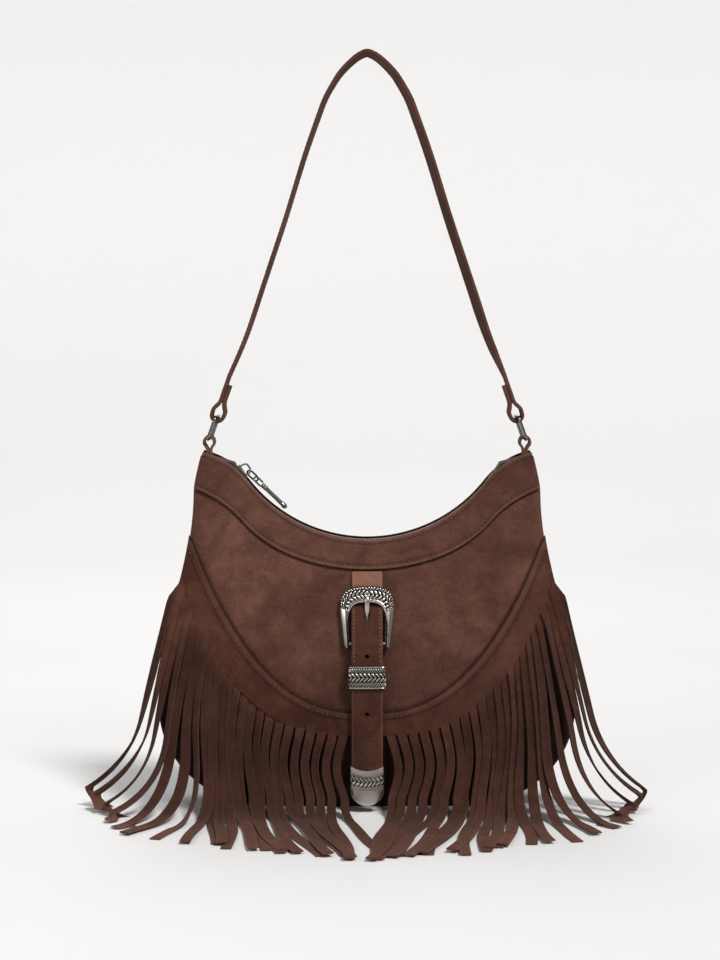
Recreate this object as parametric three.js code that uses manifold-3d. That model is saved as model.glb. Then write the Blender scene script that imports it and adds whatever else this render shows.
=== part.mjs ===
import * as THREE from "three";
import { mergeVertices } from "three/addons/utils/BufferGeometryUtils.js";
import Module from "manifold-3d";

// A fringed suede shoulder bag standing on its base with the strap up.
// Millimetres. +Z is up and -Y is the front. The origin is the middle of the flat base, on the floor.

const wasm = await Module();
wasm.setup();

// Colours and finishes
const suede = new THREE.MeshStandardMaterial({ color: 0x5a3a2e, roughness: 0.95 });
const strapLeather = new THREE.MeshStandardMaterial({ color: 0x5b382c, roughness: 0.75 });
const liningCloth = new THREE.MeshStandardMaterial({ color: 0x2e2320, roughness: 0.9 });
const zipCloth = new THREE.MeshStandardMaterial({ color: 0x2a1e1a, roughness: 0.9 });
const agedSilver = new THREE.MeshStandardMaterial({ color: 0x9a958c, roughness: 0.35, metalness: 1 });
const darkMetal = new THREE.MeshStandardMaterial({ color: 0x55524c, roughness: 0.35, metalness: 1 });

// Body outline, seen from the front
const CORNER_HEIGHT = 264.5; // top of the two corners that carry the strap
const CORNER_HALF_WIDTH = 122.6;
const NECK_HEIGHT = 235; // where the sides stop flaring
const NECK_HALF_WIDTH = 129;
const BELLY_HEIGHT = 75; // the widest level
const BELLY_HALF_WIDTH = 155;
const BASE_HALF_LENGTH = 75; // flat part of the base
const NECK_CURVE = 1.3;

// Mouth: an arc in the middle, a softer curve to each corner
const MOUTH_RADIUS = 112;
const MOUTH_LOW = 199;
const ARC_HALF_WIDTH = 88;
const CORNER_SLOPE = 0.25;

// Depth of the body, as half-depths of the panels' outer faces
const MOUTH_HALF_DEPTH = 8.6;
const BELLY_HALF_DEPTH = 43;
const SIDE_HALF_DEPTH = 31;
const BASE_HALF_DEPTH = 28;
const BASE_SIDE_HALF_DEPTH = 26;
const BELLY_LEVEL = 0.3; // share of the height at which the belly is deepest
const CROWN_POWER = 2.4; // how flat the front is across

// Leather and cloth
const PANEL_THICKNESS = 1.7;
const BAND_THICKNESS = 1.6;
const FRINGE_THICKNESS = 1.3;
const FRINGE_GAP = 0.6; // between the fringe and the panel it lies on
const GUSSET_THICKNESS = 1.6;
const LINING_THICKNESS = 0.9;
const LAYER_GAP = 0.3; // between pieces that lie on each other
const BAND_HEIGHT = 21.5; // in the middle
const BAND_RISE = 7; // how much taller it stands where the mouth is steep
const BAND_SPREAD = 142;
const BAND_OVERLAP = 7; // how far the panel runs up under the band

// Fringe: one sheet sewn on along the seam curve, slit into strips below the cut curve
const SEAM_LOW = 73.5;
const SEAM_HALF_WIDTH = 133.4;
const SEAM_RISE = 6.4e-4;
const SEAM_POWER = 2.5;
const CUT_LOW = 58;
const CUT_HALF_WIDTH = 142.5;
const CUT_RISE = 3.97e-5;
const CUT_POWER = 3;
const STRIPS_PER_SIDE = 22;
const STRIP_WIDTH = 7.6;
const STRIP_FIRST_X = 18; // the strip nearest the billet
const DRIFT_START = 25; // a strip that ends nearer the middle drifts there only this far out
const STRIP_LENGTH_MIDDLE = 192;
const STRIP_LENGTH_SIDE = 218;
const STRIP_STEPS = 9;
const STRIP_ROOT = 3; // how far a strip runs back into its sheet
const BEND_RADIUS_MIDDLE = 42;
const BEND_RADIUS_SIDE = 74;
const HANG_ANGLE_MIDDLE = 7;
const HANG_ANGLE_SIDE = 13;
const SPLAY_INWARD = -14; // degrees from straight forward, below the middle
const SPLAY_SIDE = 93;
const SPLAY_FADE = 5.2; // strips over which the sideways splay dies away

// Zip along the mouth
const ZIP_HALF_ANGLE = 61;
const ZIP_END_X = 113;
const ZIP_END_HEIGHT = 261.3;
const CHAIN_ANGLE = 60; // the teeth run this far each side of the lowest point
const TOOTH_PITCH = 4.4;
const TOOTH_LENGTH = 1.7;
const TOOTH_HEIGHT = 2.2;
const TOOTH_REACH = 0.9; // past the middle line
const RAIL_INNER = 1.3;
const RAIL_OUTER = 2.4;
const RAIL_HEIGHT = 1.6;
const TAPE_THICKNESS = 0.8;
const TAPE_DROP = 9; // the part sewn down inside the band

const rad = THREE.MathUtils.degToRad;
const cornerX = CORNER_HALF_WIDTH;
const arcCentreZ = MOUTH_LOW + MOUTH_RADIUS;

// Outline half-width at a height: an ellipse at the bottom corners, a smooth flare and a slight taper
function halfWidth(z) {
  if (z < BELLY_HEIGHT) {
    const below = (BELLY_HEIGHT - Math.max(z, 0)) / BELLY_HEIGHT;
    return BASE_HALF_LENGTH + (BELLY_HALF_WIDTH - BASE_HALF_LENGTH) * Math.sqrt(1 - below * below);
  }
  if (z < NECK_HEIGHT) {
    const t = (z - BELLY_HEIGHT) / (NECK_HEIGHT - BELLY_HEIGHT);
    return NECK_HALF_WIDTH + ((BELLY_HALF_WIDTH - NECK_HALF_WIDTH) * (1 + Math.cos(Math.PI * t))) / 2;
  }
  const t = (z - NECK_HEIGHT) / (CORNER_HEIGHT - NECK_HEIGHT);
  return NECK_HALF_WIDTH - (NECK_HALF_WIDTH - CORNER_HALF_WIDTH) * t ** NECK_CURVE;
}

// Height of the mouth's edge above the base at a distance from the middle.
function mouthHeight(x) {
  const a = Math.abs(x);
  const arc = (w) => arcCentreZ - Math.sqrt(MOUTH_RADIUS ** 2 - w * w);
  if (a <= ARC_HALF_WIDTH) return arc(a);
  const span = cornerX - ARC_HALF_WIDTH;
  const t = Math.min((a - ARC_HALF_WIDTH) / span, 1);
  const startSlope = ARC_HALF_WIDTH / Math.sqrt(MOUTH_RADIUS ** 2 - ARC_HALF_WIDTH ** 2);
  const h00 = 2 * t ** 3 - 3 * t ** 2 + 1;
  const h10 = t ** 3 - 2 * t ** 2 + t;
  const h01 = 3 * t ** 2 - 2 * t ** 3;
  const h11 = t ** 3 - t ** 2;
  const start = h00 * arc(ARC_HALF_WIDTH) + h10 * span * startSlope;
  return start + h01 * CORNER_HEIGHT + h11 * span * CORNER_SLOPE;
}

// Half-depth along the height: thin at the mouth, deepest at the belly level, tucked in at the base.
function depthProfile(v, belly, base) {
  if (v < BELLY_LEVEL) return belly - (belly - base) * ((BELLY_LEVEL - v) / BELLY_LEVEL) ** 2;
  const t = (1 - v) / (1 - BELLY_LEVEL);
  return MOUTH_HALF_DEPTH + (belly - MOUTH_HALF_DEPTH) * Math.sin((Math.PI / 2) * Math.min(t, 1));
}

// The body's face is a map from u (-1 to 1 across) and v (0 base to 1 mouth).
function faceXZ(u, v) {
  return [u * halfWidth(v * CORNER_HEIGHT), v * mouthHeight(u * cornerX)];
}

function faceDepth(u, v) {
  const middle = depthProfile(v, BELLY_HALF_DEPTH, BASE_HALF_DEPTH);
  const side = depthProfile(v, SIDE_HALF_DEPTH, BASE_SIDE_HALF_DEPTH);
  return side + (middle - side) * (1 - Math.min(Math.abs(u), 1) ** CROWN_POWER);
}

// The u and v of a point of the front, found by repeated substitution.
function faceUV(x, z) {
  let u = x / BELLY_HALF_WIDTH;
  let v = z / CORNER_HEIGHT;
  for (let i = 0; i < 24; i++) {
    v = Math.min(Math.max(z / mouthHeight(u * cornerX), 0), 1);
    u = Math.min(Math.max(x / halfWidth(v * CORNER_HEIGHT), -1), 1);
  }
  return [u, v];
}

function depthAt(x, z) {
  return faceDepth(...faceUV(x, z));
}

// Closed solid from two grids that face each other: front(i, j) and back(i, j) return points.
function gridSolid(columns, rows, front, back) {
  const points = [];
  const index = [];
  const layer = (columns + 1) * (rows + 1);
  for (const side of [front, back])
    for (let j = 0; j <= rows; j++)
      for (let i = 0; i <= columns; i++) points.push(...side(i / columns, j / rows));
  const at = (s, i, j) => s * layer + j * (columns + 1) + i;
  const quad = (a, b, c, d) => index.push(a, b, c, a, c, d);
  for (let j = 0; j < rows; j++)
    for (let i = 0; i < columns; i++) {
      quad(at(0, i, j), at(0, i + 1, j), at(0, i + 1, j + 1), at(0, i, j + 1));
      quad(at(1, i, j), at(1, i, j + 1), at(1, i + 1, j + 1), at(1, i + 1, j));
    }
  for (let i = 0; i < columns; i++) {
    quad(at(0, i, 0), at(1, i, 0), at(1, i + 1, 0), at(0, i + 1, 0));
    quad(at(0, i, rows), at(0, i + 1, rows), at(1, i + 1, rows), at(1, i, rows));
  }
  for (let j = 0; j < rows; j++) {
    quad(at(0, 0, j), at(0, 0, j + 1), at(1, 0, j + 1), at(1, 0, j));
    quad(at(0, columns, j), at(1, columns, j), at(1, columns, j + 1), at(0, columns, j + 1));
  }
  return closed(points, index);
}

function closed(points, index) {
  const geometry = new THREE.BufferGeometry();
  geometry.setAttribute("position", new THREE.Float32BufferAttribute(points, 3));
  geometry.setIndex(index);
  return geometry;
}

// Closed solid swept along rings of points: each ring lists its section's corners in the same order.
function ringSolid(rings, looped = false) {
  const points = rings.flat().flatMap((p) => p.toArray());
  const n = rings[0].length;
  const index = [];
  const steps = looped ? rings.length : rings.length - 1;
  for (let j = 0; j < steps; j++)
    for (let i = 0; i < n; i++) {
      const a = j * n + i;
      const b = j * n + ((i + 1) % n);
      const c = ((j + 1) % rings.length) * n + ((i + 1) % n);
      const d = ((j + 1) % rings.length) * n + i;
      index.push(a, b, c, a, c, d);
    }
  if (!looped) {
    const end = (rings.length - 1) * n;
    for (let i = 1; i < n - 1; i++) {
      index.push(0, i + 1, i);
      index.push(end, end + i, end + i + 1);
    }
  }
  return closed(points, index);
}

// A closed mesh as a solid for joining and cutting, turned right side out if its faces point in.
function solid(geometry) {
  const bare = new THREE.BufferGeometry();
  bare.setAttribute("position", geometry.getAttribute("position").clone());
  if (geometry.index) bare.setIndex(geometry.index.clone());
  const merged = mergeVertices(bare, 1e-4);
  const make = (triVerts) =>
    new wasm.Manifold(
      new wasm.Mesh({ numProp: 3, vertProperties: merged.attributes.position.array, triVerts }),
    );
  const triangles = new Uint32Array(merged.index.array);
  const made = make(triangles);
  if (made.volume() >= 0) return made;
  for (let i = 0; i < triangles.length; i += 3)
    [triangles[i + 1], triangles[i + 2]] = [triangles[i + 2], triangles[i + 1]];
  return make(triangles);
}

function geometryOf(made) {
  const mesh = made.getMesh();
  const geometry = new THREE.BufferGeometry();
  const flat = new THREE.BufferAttribute(new Float32Array(mesh.vertProperties), 3);
  geometry.setAttribute("position", flat);
  geometry.setIndex(new THREE.BufferAttribute(new Uint32Array(mesh.triVerts), 1));
  return geometry;
}

const bag = new THREE.Group();

function add(name, made, material) {
  const geometry = made.isBufferGeometry ? geometryOf(solid(made)) : geometryOf(made);
  geometry.computeVertexNormals();
  const mesh = new THREE.Mesh(geometry, material);
  mesh.name = name;
  bag.add(mesh);
  return mesh;
}

// Body panels. A layer lies between two offsets outwards from the panel's outer face.
const bandHeight = (x) => BAND_HEIGHT + BAND_RISE * Math.sin(Math.PI * (x / BAND_SPREAD) ** 2);
const bandFoot = (u) => 1 - bandHeight(u * cornerX) / mouthHeight(u * cornerX);
const panelTop = (u) => bandFoot(u) + BAND_OVERLAP / mouthHeight(u * cornerX);

function bodyLayer(columns, rows, low, high, inner, outer, facing) {
  const point = (s, t, offset) => {
    const u = 2 * s - 1;
    const v = low(u) + (high(u) - low(u)) * t;
    const [x, z] = faceXZ(u, v);
    return [x, facing * (faceDepth(u, v) + offset), z];
  };
  return gridSolid(columns, rows, (s, t) => point(s, t, outer), (s, t) => point(s, t, inner));
}

for (const [side, facing] of [["front", -1], ["back", 1]]) {
  add(side + "_panel", bodyLayer(20, 9, () => 0, panelTop, -PANEL_THICKNESS, 0, facing), suede);
  const band = bodyLayer(24, 1, bandFoot, () => 1, LAYER_GAP, LAYER_GAP + BAND_THICKNESS, facing);
  add(side + "_band", band, suede);
}

// Gusset: one strip down a side, across the base and up the other side, between the two panels.
function outlinePath() {
  const side = [];
  const levels = [0.985, 0.95, 0.9, 0.8, 0.7, 0.6, 0.5, 0.4, 0.3, 0.22, 0.15, 0.09, 0.045, 0.015, 0];
  for (const v of levels) side.push([halfWidth(v * CORNER_HEIGHT), v * CORNER_HEIGHT, faceDepth(1, v), v]);
  const left = side.map(([x, z, d, v]) => [-x, z, d, v]);
  const base = [-0.6, -0.2, 0.2, 0.6].map((u) => [u * BASE_HALF_LENGTH, 0, faceDepth(u, 0), 0]);
  return [...left, ...base, ...side.reverse()];
}

function gusset() {
  const path = outlinePath();
  const rings = path.map(([x, z, depth, v], i) => {
    const before = path[Math.max(i - 1, 0)];
    const after = path[Math.min(i + 1, path.length - 1)];
    const run = new THREE.Vector2(after[0] - before[0], after[1] - before[1]).normalize();
    const inward = [-run.y * GUSSET_THICKNESS, run.x * GUSSET_THICKNESS];
    const flat = z === 0 && Math.abs(x) < BASE_HALF_LENGTH;
    const rise = flat ? GUSSET_THICKNESS : inward[1];
    const shift = flat ? 0 : inward[0];
    const half = v > 0.95 ? depth : depth - PANEL_THICKNESS - LAYER_GAP;
    return [
      new THREE.Vector3(x, -half, z),
      new THREE.Vector3(x, half, z),
      new THREE.Vector3(x + shift, half, Math.max(z + rise, 0)),
      new THREE.Vector3(x + shift, -half, Math.max(z + rise, 0)),
    ];
  });
  return ringSolid(rings);
}
add("gusset", gusset(), suede);

// Lining: a thin bag inside the panels, open at the mouth.
function bodyBlock(inset, top) {
  const point = (s, t, facing) => {
    const u = 2 * s - 1;
    const v = t * top;
    const [x, z] = faceXZ(u, v);
    const shrink = 1 - inset / BELLY_HALF_WIDTH;
    const height = Math.max(z, 0) * (1 - inset / MOUTH_LOW) + inset;
    return [x * shrink, facing * (faceDepth(u, v) - inset), height];
  };
  return solid(gridSolid(14, 7, (s, t) => point(s, t, -1), (s, t) => point(s, t, 1)));
}
const LINING_INSET = 3;
const LINING_TOP = 0.9;
const liningSolid = bodyBlock(LINING_INSET, LINING_TOP).subtract(
  bodyBlock(LINING_INSET + LINING_THICKNESS, 1),
);
add("lining", liningSolid, liningCloth);


// Moves a piece made in its own axes to the bag: across, along and out are the directions of its x, y and z.
function placed(geometry, origin, across, along, out) {
  const matrix = new THREE.Matrix4().makeBasis(across, along, out).setPosition(origin);
  return geometry.applyMatrix4(matrix);
}
const xAxis = new THREE.Vector3(1, 0, 0);
const yAxis = new THREE.Vector3(0, 1, 0);
const zAxis = new THREE.Vector3(0, 0, 1);
const forward = new THREE.Vector3(0, -1, 0);

function plateFrom(outline, holes, thickness) {
  const shape = new THREE.Shape(outline.map(([x, y]) => new THREE.Vector2(x, y)));
  for (const hole of holes) shape.holes.push(new THREE.Path(hole.map(([x, y]) => new THREE.Vector2(x, y))));
  const geometry = new THREE.ExtrudeGeometry(shape, { depth: thickness, bevelEnabled: false });
  return geometry.translate(0, 0, -thickness / 2);
}

function circlePoints(radius, sides, x = 0, y = 0) {
  const points = [];
  for (let i = 0; i < sides; i++) {
    const a = (2 * Math.PI * i) / sides;
    points.push([x + radius * Math.cos(a), y + radius * Math.sin(a)]);
  }
  return points;
}

// Round wire along a flat closed path; the path's plane has the given normal.
function wireLoop(path, normal, radius, sides) {
  const rings = path.map((p, i) => {
    const before = path[(i + path.length - 1) % path.length];
    const after = path[(i + 1) % path.length];
    const side = new THREE.Vector3().subVectors(after, before).normalize().cross(normal).normalize();
    return circlePoints(radius, sides).map(([a, b]) =>
      p.clone().addScaledVector(side, a).addScaledVector(normal, b),
    );
  });
  return ringSolid(rings, true);
}

function roundedRectangle(halfWidth, halfHeight, radius, steps) {
  const points = [];
  const corners = [[1, 1, 0], [-1, 1, 1], [-1, -1, 2], [1, -1, 3]];
  for (const [sx, sy, quarter] of corners)
    for (let k = 0; k <= steps; k++) {
      const a = (Math.PI / 2) * (quarter + k / steps);
      const cx = sx * (halfWidth - radius);
      const cy = sy * (halfHeight - radius);
      points.push([cx + radius * Math.cos(a), cy + radius * Math.sin(a)]);
    }
  return points;
}

// Zip: a chain of teeth on two rails along the mouth's circle, and two cloth tapes sewn inside the bands.
const ZIP_DEPTH = 2; // of the chain's middle below the mouth's edge
const CHAIN_RADIUS = MOUTH_RADIUS + ZIP_DEPTH;
const TAPE_GAP = 0.3;

function zipPath(count) {
  const stations = [];
  const end = rad(ZIP_HALF_ANGLE);
  for (let k = 0; k <= count; k++) stations.push(-end + (2 * end * k) / count);
  const arc = stations.map((a) => ({
    at: [CHAIN_RADIUS * Math.sin(a), arcCentreZ - CHAIN_RADIUS * Math.cos(a)],
    up: [-Math.sin(a), Math.cos(a)],
  }));
  const tip = (s) => ({ at: [s * ZIP_END_X, ZIP_END_HEIGHT - ZIP_DEPTH], up: [-s * 0.3, 0.954] });
  return [tip(-1), ...arc, tip(1)];
}

function zipTape(facing) {
  const inner = RAIL_OUTER + TAPE_GAP;
  const rings = zipPath(26).map(({ at, up }) => {
    const [x, z] = at;
    const point = (y, rise, drop) =>
      new THREE.Vector3(x + up[0] * rise, facing * y, z + up[1] * rise - drop);
    const t = TAPE_THICKNESS;
    const outer = MOUTH_HALF_DEPTH - TAPE_GAP;
    return [
      point(inner, t / 2, 0),
      point(outer, t / 2, 0),
      point(outer, t / 2, TAPE_DROP),
      point(outer - t, t / 2, TAPE_DROP),
      point(outer - t, -t / 2, 0),
      point(inner, -t / 2, 0),
    ];
  });
  return ringSolid(rings);
}

function zipTeeth(facing) {
  const end = rad(CHAIN_ANGLE);
  const place = (a, y, rise) =>
    new THREE.Vector3(
      (CHAIN_RADIUS - rise) * Math.sin(a),
      facing * y,
      arcCentreZ - (CHAIN_RADIUS - rise) * Math.cos(a),
    );
  const railRings = [];
  for (let k = 0; k <= 30; k++) {
    const a = -end + (2 * end * k) / 30;
    const h = RAIL_HEIGHT / 2;
    railRings.push([
      place(a, RAIL_INNER, h),
      place(a, RAIL_OUTER, h),
      place(a, RAIL_OUTER, -h),
      place(a, RAIL_INNER, -h),
    ]);
  }
  const pieces = [solid(ringSolid(railRings))];
  const pitch = TOOTH_PITCH / CHAIN_RADIUS;
  const half = TOOTH_LENGTH / 2 / CHAIN_RADIUS;
  const count = Math.floor((2 * end - pitch) / pitch);
  const shift = facing > 0 ? pitch / 2 : 0;
  for (let k = 0; k < count; k++) {
    const a = -end + half * 1.5 + shift + k * pitch;
    const h = TOOTH_HEIGHT / 2;
    const ring = (b) => [
      place(b, -TOOTH_REACH, h),
      place(b, RAIL_OUTER - 0.4, h),
      place(b, RAIL_OUTER - 0.4, -h),
      place(b, -TOOTH_REACH, -h),
    ];
    pieces.push(solid(ringSolid([ring(a - half), ring(a + half)])));
  }
  return wasm.Manifold.union(pieces);
}

for (const [side, facing] of [["front", -1], ["back", 1]]) {
  add("zip_tape_" + side, zipTape(facing), zipCloth);
  add("zip_teeth_" + side, zipTeeth(facing), darkMetal);
}

// Zip slider, link and pull. The slider rests at the left end of the chain and runs along its circle.
const SLIDER_ANGLE = -56.5;
const SLIDER_LENGTH = 11;
const SLIDER_HALF_WIDTH = 4.6;
const SLIDER_PLATE = 1.4;
const SLIDER_LIFT = TOOTH_HEIGHT / 2 + 0.35;
const BRIDGE_HEIGHT = 5.8;
const LINK_SEAT = 2.7; // height of the link's wire over the slider's plate
const BRIDGE_WIDTH = 1;
const LINK_WIRE = 0.75;
const LINK_LENGTH = 10;
const LINK_WIDTH = 6.6;
const LINK_TURN = 40; // how far the link is turned about its own length
const PULL_LENGTH = 33;
const PULL_WIDTH = 2.6;
const PULL_HEAD_WIDTH = 4.6;
const PULL_BEAD_WIDTH = 3.6;
const PULL_THICKNESS = 1.8;
const PULL_EYE = 6; // length of the slot at the pull's upper end

function chainFrame(degrees) {
  const a = rad(degrees);
  const along = new THREE.Vector3(Math.cos(a), 0, Math.sin(a));
  const up = new THREE.Vector3(-Math.sin(a), 0, Math.cos(a));
  const origin = new THREE.Vector3(CHAIN_RADIUS * Math.sin(a), 0, arcCentreZ - CHAIN_RADIUS * Math.cos(a));
  return { along, up, origin };
}

const slider = chainFrame(SLIDER_ANGLE);
const bridgeTop = SLIDER_LIFT + SLIDER_PLATE + BRIDGE_HEIGHT;
function sliderBody() {
  const half = SLIDER_LENGTH / 2;
  const topPlate = new THREE.BoxGeometry(SLIDER_LENGTH, SLIDER_PLATE, 2 * SLIDER_HALF_WIDTH);
  topPlate.translate(0, SLIDER_LIFT + SLIDER_PLATE / 2, 0);
  const pieces = [solid(topPlate)];
  for (const s of [-1, 1]) {
    const flange = new THREE.BoxGeometry(SLIDER_LENGTH, SLIDER_LIFT, 1.2);
    flange.translate(0, SLIDER_LIFT / 2 + 0.75, s * (SLIDER_HALF_WIDTH - 0.6));
    pieces.push(solid(flange));
  }
  const low = SLIDER_LIFT + SLIDER_PLATE - 0.2;
  const bridgeOutline = [
    [-half + 1, low], [half - 1, low], [half - 1, low + 3.4], [half - 2.4, bridgeTop - 0.4],
    [half - 4, bridgeTop], [-half + 4, bridgeTop], [-half + 2.4, bridgeTop - 0.4], [-half + 1, low + 3],
  ];
  const eye = [
    [-half + 2.2, low + 0.4], [half - 2.2, low + 0.4], [half - 2.2, low + 3.2],
    [half - 3.2, bridgeTop - 1.4],
    [-half + 3.2, bridgeTop - 1.4], [-half + 2.2, low + 2.8],
  ];
  pieces.push(solid(plateFrom(bridgeOutline, [eye], BRIDGE_WIDTH)));
  return wasm.Manifold.union(pieces);
}
const sliderGeometry = geometryOf(sliderBody());
placed(sliderGeometry, slider.origin, slider.along, slider.up, forward);
add("zip_slider", sliderGeometry, darkMetal);

// The link and pull lie along the chain from the bridge's eye
const linkPivot = slider.origin
  .clone()
  .addScaledVector(slider.up, SLIDER_LIFT + SLIDER_PLATE + LINK_SEAT)
  .addScaledVector(slider.along, SLIDER_LENGTH / 2 - 3.4);
const LINK_ANGLE = -44; // of the link's and pull's run below the horizontal
const run = new THREE.Vector3(Math.cos(rad(LINK_ANGLE)), 0, Math.sin(rad(LINK_ANGLE)));
const lift = new THREE.Vector3(-run.z, 0, run.x);
const turn = rad(LINK_TURN);
const linkAcross = forward.clone().multiplyScalar(Math.cos(turn)).addScaledVector(lift, Math.sin(turn));
function onRun(s, b) {
  return linkPivot.clone().addScaledVector(run, s).addScaledVector(linkAcross, b);
}
const pullAcross = new THREE.Vector3().crossVectors(linkAcross, run);
const linkPath = roundedRectangle(LINK_LENGTH / 2, LINK_WIDTH / 2, 3, 4).map(([a, b]) =>
  onRun(a + LINK_LENGTH / 2, b),
);
add("zip_link", wireLoop(linkPath, pullAcross, LINK_WIRE, 8), darkMetal);

function pullPlate() {
  const h = PULL_WIDTH / 2;
  const head = PULL_HEAD_WIDTH / 2;
  const bead = PULL_BEAD_WIDTH / 2;
  const end = PULL_LENGTH;
  const neck = PULL_EYE + 3;
  const half = [
    [0, head * 0.6], [1.2, head], [neck - 1, head], [neck + 0.6, h], [end - 5, h],
    [end - 3.6, bead], [end - 0.9, bead], [end, bead * 0.5],
  ];
  const outline = [...half.map(([x, y]) => [x, -y]), ...half.slice().reverse()];
  const eye = [[1.6, -1.4], [1.6 + PULL_EYE, -1.4], [1.6 + PULL_EYE, 1.4], [1.6, 1.4]];
  return plateFrom(outline, [eye], PULL_THICKNESS);
}
const pullStart = onRun(LINK_LENGTH - 2.9, 0);
add("zip_pull", placed(pullPlate(), pullStart, run, pullAcross, linkAcross), darkMetal);

// Corner tabs, rings and shoulder strap
const RING_FOOT = [118, 273.7]; // distance from the middle and height of the ring's lower bar
const RING_HEAD = [112, 290.3];
const RING_WIRE = 1.2;
const RING_HALF_WIDTH = 9.5;
const TAB_HALF_WIDTH = 7;
const TAB_THICKNESS = 1.6;
const TAB_FOOT_HEIGHT = 247;
const TAB_GAP = 0.4; // between the ring's wire and the top of the tab's loop
const TAB_LOOP_RADIUS = 3.2; // inside the loop
const STRAP_HALF_WIDTH = 7.5;
const STRAP_THICKNESS = 3;
const STRAP_PIVOT_GAP = 0.5;
const FOLD_RADIUS = 4.6; // of the strap's middle layer round the ring
const FOLD_LENGTH = 25; // of the strap's end folded back up its inner side

function cornerTab(side) {
  const [fx, barHeight] = RING_FOOT;
  const fz = barHeight + RING_WIRE + TAB_GAP - TAB_LOOP_RADIUS;
  const outerRadius = TAB_LOOP_RADIUS + TAB_THICKNESS;
  const disc = solid(plateFrom(circlePoints(outerRadius, 24, side * fx, fz), [], 2 * TAB_HALF_WIDTH));
  const inside = circlePoints(TAB_LOOP_RADIUS, 20, side * fx, fz);
  const hole = solid(plateFrom(inside, [], 3 * TAB_HALF_WIDTH));
  const t = TAB_THICKNESS;
  const tail = [
    [side * fx - t, TAB_FOOT_HEIGHT], [side * fx + t, TAB_FOOT_HEIGHT],
    [side * fx + t, fz - TAB_LOOP_RADIUS],
    [side * fx - t, fz - TAB_LOOP_RADIUS],
  ];
  const tailSolid = solid(plateFrom(tail, [], 2 * MOUTH_HALF_DEPTH)).subtract(
    solid(new THREE.BoxGeometry(30, 60, 60).translate(side * fx, CORNER_HEIGHT - 1.6 + 30, 0)),
  );
  const neck = [
    [side * fx - t, CORNER_HEIGHT - 4], [side * fx + t, CORNER_HEIGHT - 4],
    [side * fx + t, fz - TAB_LOOP_RADIUS],
    [side * fx - t, fz - TAB_LOOP_RADIUS],
  ];
  const neckSolid = solid(plateFrom(neck, [], 2 * TAB_HALF_WIDTH));
  const made = geometryOf(disc.add(tailSolid).add(neckSolid).subtract(hole));
  return placed(made, new THREE.Vector3(), xAxis, zAxis, forward);
}

function ringPath(side) {
  const foot = new THREE.Vector3(side * RING_FOOT[0], 0, RING_FOOT[1]);
  const head = new THREE.Vector3(side * RING_HEAD[0], 0, RING_HEAD[1]);
  const middle = foot.clone().lerp(head, 0.5);
  const rise = head.clone().sub(foot);
  const half = rise.length() / 2;
  rise.normalize();
  const path = roundedRectangle(RING_HALF_WIDTH, half, 3, 4).map(([a, b]) =>
    middle.clone().addScaledVector(yAxis, a).addScaledVector(rise, b),
  );
  return { path, normal: new THREE.Vector3().crossVectors(yAxis, rise).normalize() };
}

for (const [name, side] of [["left", -1], ["right", 1]]) {
  add("tab_" + name, cornerTab(side), suede);
  const { path, normal } = ringPath(side);
  add("ring_" + name, wireLoop(path, normal, RING_WIRE, 10), darkMetal);
}

// Strap centreline as distance from the middle and height, from the apex down to the fold
const STRAP_LINE = [
  [0, 563], [7, 560.5], [14, 555], [22, 546], [28, 536], [33, 526], [38, 512], [48, 483],
  [62, 438], [76, 396],
  [90, 352],
];

function strapSolid() {
  const [hx, hz] = RING_HEAD;
  const top = STRAP_LINE[STRAP_LINE.length - 1];
  const limb = new THREE.Vector2(top[0] - hx, top[1] - hz).normalize();
  const inward = new THREE.Vector2(-limb.y, limb.x);
  const local = (m, s) => [hx + limb.x * s + inward.x * m, hz + limb.y * s + inward.y * m];
  const h = STRAP_THICKNESS / 2;
  const r = FOLD_RADIUS;
  const centre = r - (RING_WIRE + STRAP_PIVOT_GAP + h);
  const fold = [local(-h, 30), local(-h, 19), local(-h * 1.25, 12), local(-r, centre + 4)];
  for (let k = 0; k <= 10; k++) {
    const a = Math.PI + (Math.PI * k) / 10;
    fold.push(local(r * Math.cos(a), centre + r * Math.sin(a)));
  }
  fold.push(local(r, centre + 4), local(h * 1.25, 12), local(h * 0.96, 19), local(h * 0.96, FOLD_LENGTH));
  const ribbon = (line) => {
    const rings = line.map(([x, z], i) => {
      const before = line[Math.max(i - 1, 0)];
      const after = line[Math.min(i + 1, line.length - 1)];
      const along = new THREE.Vector2(after[0] - before[0], after[1] - before[1]).normalize();
      const n = [-along.y * h, along.x * h];
      const corner = (s, y) => new THREE.Vector3(x + s * n[0], y, z + s * n[1]);
      const w = STRAP_HALF_WIDTH;
      return [corner(1, -w), corner(1, w), corner(-1, w), corner(-1, -w)];
    });
    return solid(ringSolid(rings));
  };
  const mirrored = (line) => line.map(([x, z]) => [-x, z]);
  const half = [...STRAP_LINE.slice(1), local(-h, 30)];
  const whole = [...mirrored(half).reverse(), STRAP_LINE[0], ...half];
  return wasm.Manifold.union([ribbon(whole), ribbon(fold), ribbon(mirrored(fold))]);
}
add("shoulder_strap", strapSolid(), strapLeather);

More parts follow.
